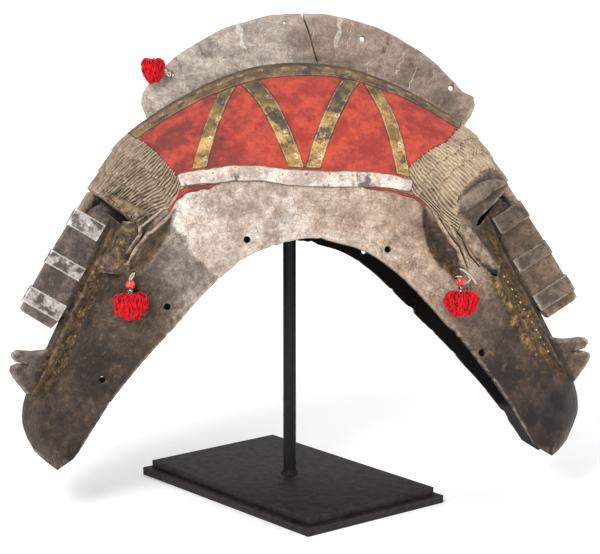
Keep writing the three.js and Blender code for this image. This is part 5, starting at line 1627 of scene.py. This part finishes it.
# Stand
# Two steel plates, one on the other, and a round rod welded to the upper one, all satin black.
BASE = (272, 175)
BASE_LEDGE = 7
PLATE_THICKNESS = 8
BASE_TURN = math.radians(-56.8)
black_paint, tree, surface = new_material("satin black")
where = put(tree, "ShaderNodeTexCoord").outputs["Object"]
haze = spots_of(tree, where, 120.0, 5.0, 0.7)
colour = mixed(tree, ramp(tree, haze, 0.4, 0.7), paint(17, 17, 18), paint(27, 26, 26))
rubbed = use(tree, wear, {"Where": where, "Edge": kept(tree, "worn").outputs["Fac"], "Amount": 0.25})["Rubbed"]
colour = mixed(tree, rubbed, colour, paint(88, 74, 68))
tree.links.new(colour, surface["Base Color"])
tree.links.new(ramp(tree, haze, 0.3, 0.7, 0.5, 0.66), surface["Roughness"])
surface["Specular IOR Level"].default_value = 0.25
tree.links.new(put(tree, "ShaderNodeBump", {"Strength": 0.25, "Distance": 0.0003, "Height": spots_of(
    tree, where, 900.0, 3.0)}).outputs[0], surface["Normal"])


def plate(name, length, width, low, high):
    bpy.ops.mesh.primitive_cube_add(size=1)
    thing = bpy.context.object
    thing.name = name.replace("_", "-")
    at = all_of(thing.data.vertices, "co", 3) * np.array([length, width, high - low]) / 1000
    turn = np.array(Matrix.Rotation(BASE_TURN, 3, "Z"))
    at = at @ turn.T + np.array([0, 0, (high + low) / 2000])
    thing.data.vertices.foreach_set("co", at.ravel())
    step = thing.modifiers.new("soft edge", "BEVEL")
    step.width = 0.0008
    step.segments = 3
    graph = bpy.context.evaluated_depsgraph_get()
    mesh = bpy.data.meshes.new_from_object(thing.evaluated_get(graph))
    thing.modifiers.clear()
    thing.data = mesh
    mesh.materials.clear()
    mesh.materials.append(black_paint)
    keep(mesh, "worn", np.clip(-bends(mesh) * 3, 0, 1))
    mesh.shade_smooth()
    mesh.set_sharp_from_angle(angle=math.radians(30))
    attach(thing, "root")
    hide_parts(name)


plate("base_lower", BASE[0], BASE[1], 0, PLATE_THICKNESS)
plate("base_upper", BASE[0] - 2 * BASE_LEDGE, BASE[1] - 2 * BASE_LEDGE, PLATE_THICKNESS, 2 * PLATE_THICKNESS)

ROD_RADIUS = 6.5
WELD_RADIUS = 8.5
SADDLE_THICKNESS = 5
SADDLE_REACH = 0.093
saddle_s, saddle_v = np.meshgrid(np.linspace(-SADDLE_REACH, 0, 9), np.linspace(1.6, 2.0, 9), indexing="ij")
saddle_out = facing(saddle_s, saddle_v, inner)
levels = [standing(inner(saddle_s, saddle_v) - saddle_out * lift) * 1000 for lift in (0.8, 0.8 + SADDLE_THICKNESS)]
roof = standing(inner(-SADDLE_REACH / 2, 1.8))[2] * 1000 - 2.5
foot = 2 * PLATE_THICKNESS
profile = [(WELD_RADIUS, foot - 0.3), (WELD_RADIUS, foot + 0.6), (WELD_RADIUS - 0.7, foot + 1.7),
           (ROD_RADIUS + 0.3, foot + 2.4), (ROD_RADIUS, foot + 3.2), (ROD_RADIUS, foot + 6), (ROD_RADIUS, roof)]
turn = np.linspace(0, 2 * math.pi, 49)[:-1]
ripple = 0.25 * np.sin(9 * turn) + 0.2 * np.sin(23 * turn + 1)
rod_grid = np.array([[((r + (ripple[i] if z < foot + 3 else 0)) * math.cos(a),
                       (r + (ripple[i] if z < foot + 3 else 0)) * math.sin(a), z)
                      for i, a in enumerate(turn)] for r, z in profile])
rod = closed_loft("rod-and-saddle", rod_grid / 1000)
count = saddle_s.size
faces = quads(9, 9, False) + [[n + count for n in reversed(face)] for face in quads(9, 9, False)]
border = list(range(0, 81, 9)) + list(range(73, 81)) + list(range(71, 0, -9))[:8] + list(range(7, 0, -1))
faces += [[a, b, b + count, a + count] for a, b in zip(border, border[1:] + border[:1])]
saddle = solid("saddle", np.concatenate([level.reshape(-1, 3) for level in levels]) / 1000, faces)
carve(rod, [saddle], "UNION")
rod.data.materials.clear()
rod.data.materials.append(black_paint)
keep(rod.data, "worn", np.zeros(len(rod.data.vertices)))
rod.data.shade_smooth()
rod.data.set_sharp_from_angle(angle=math.radians(40))
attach(rod, "root")
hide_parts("rod")
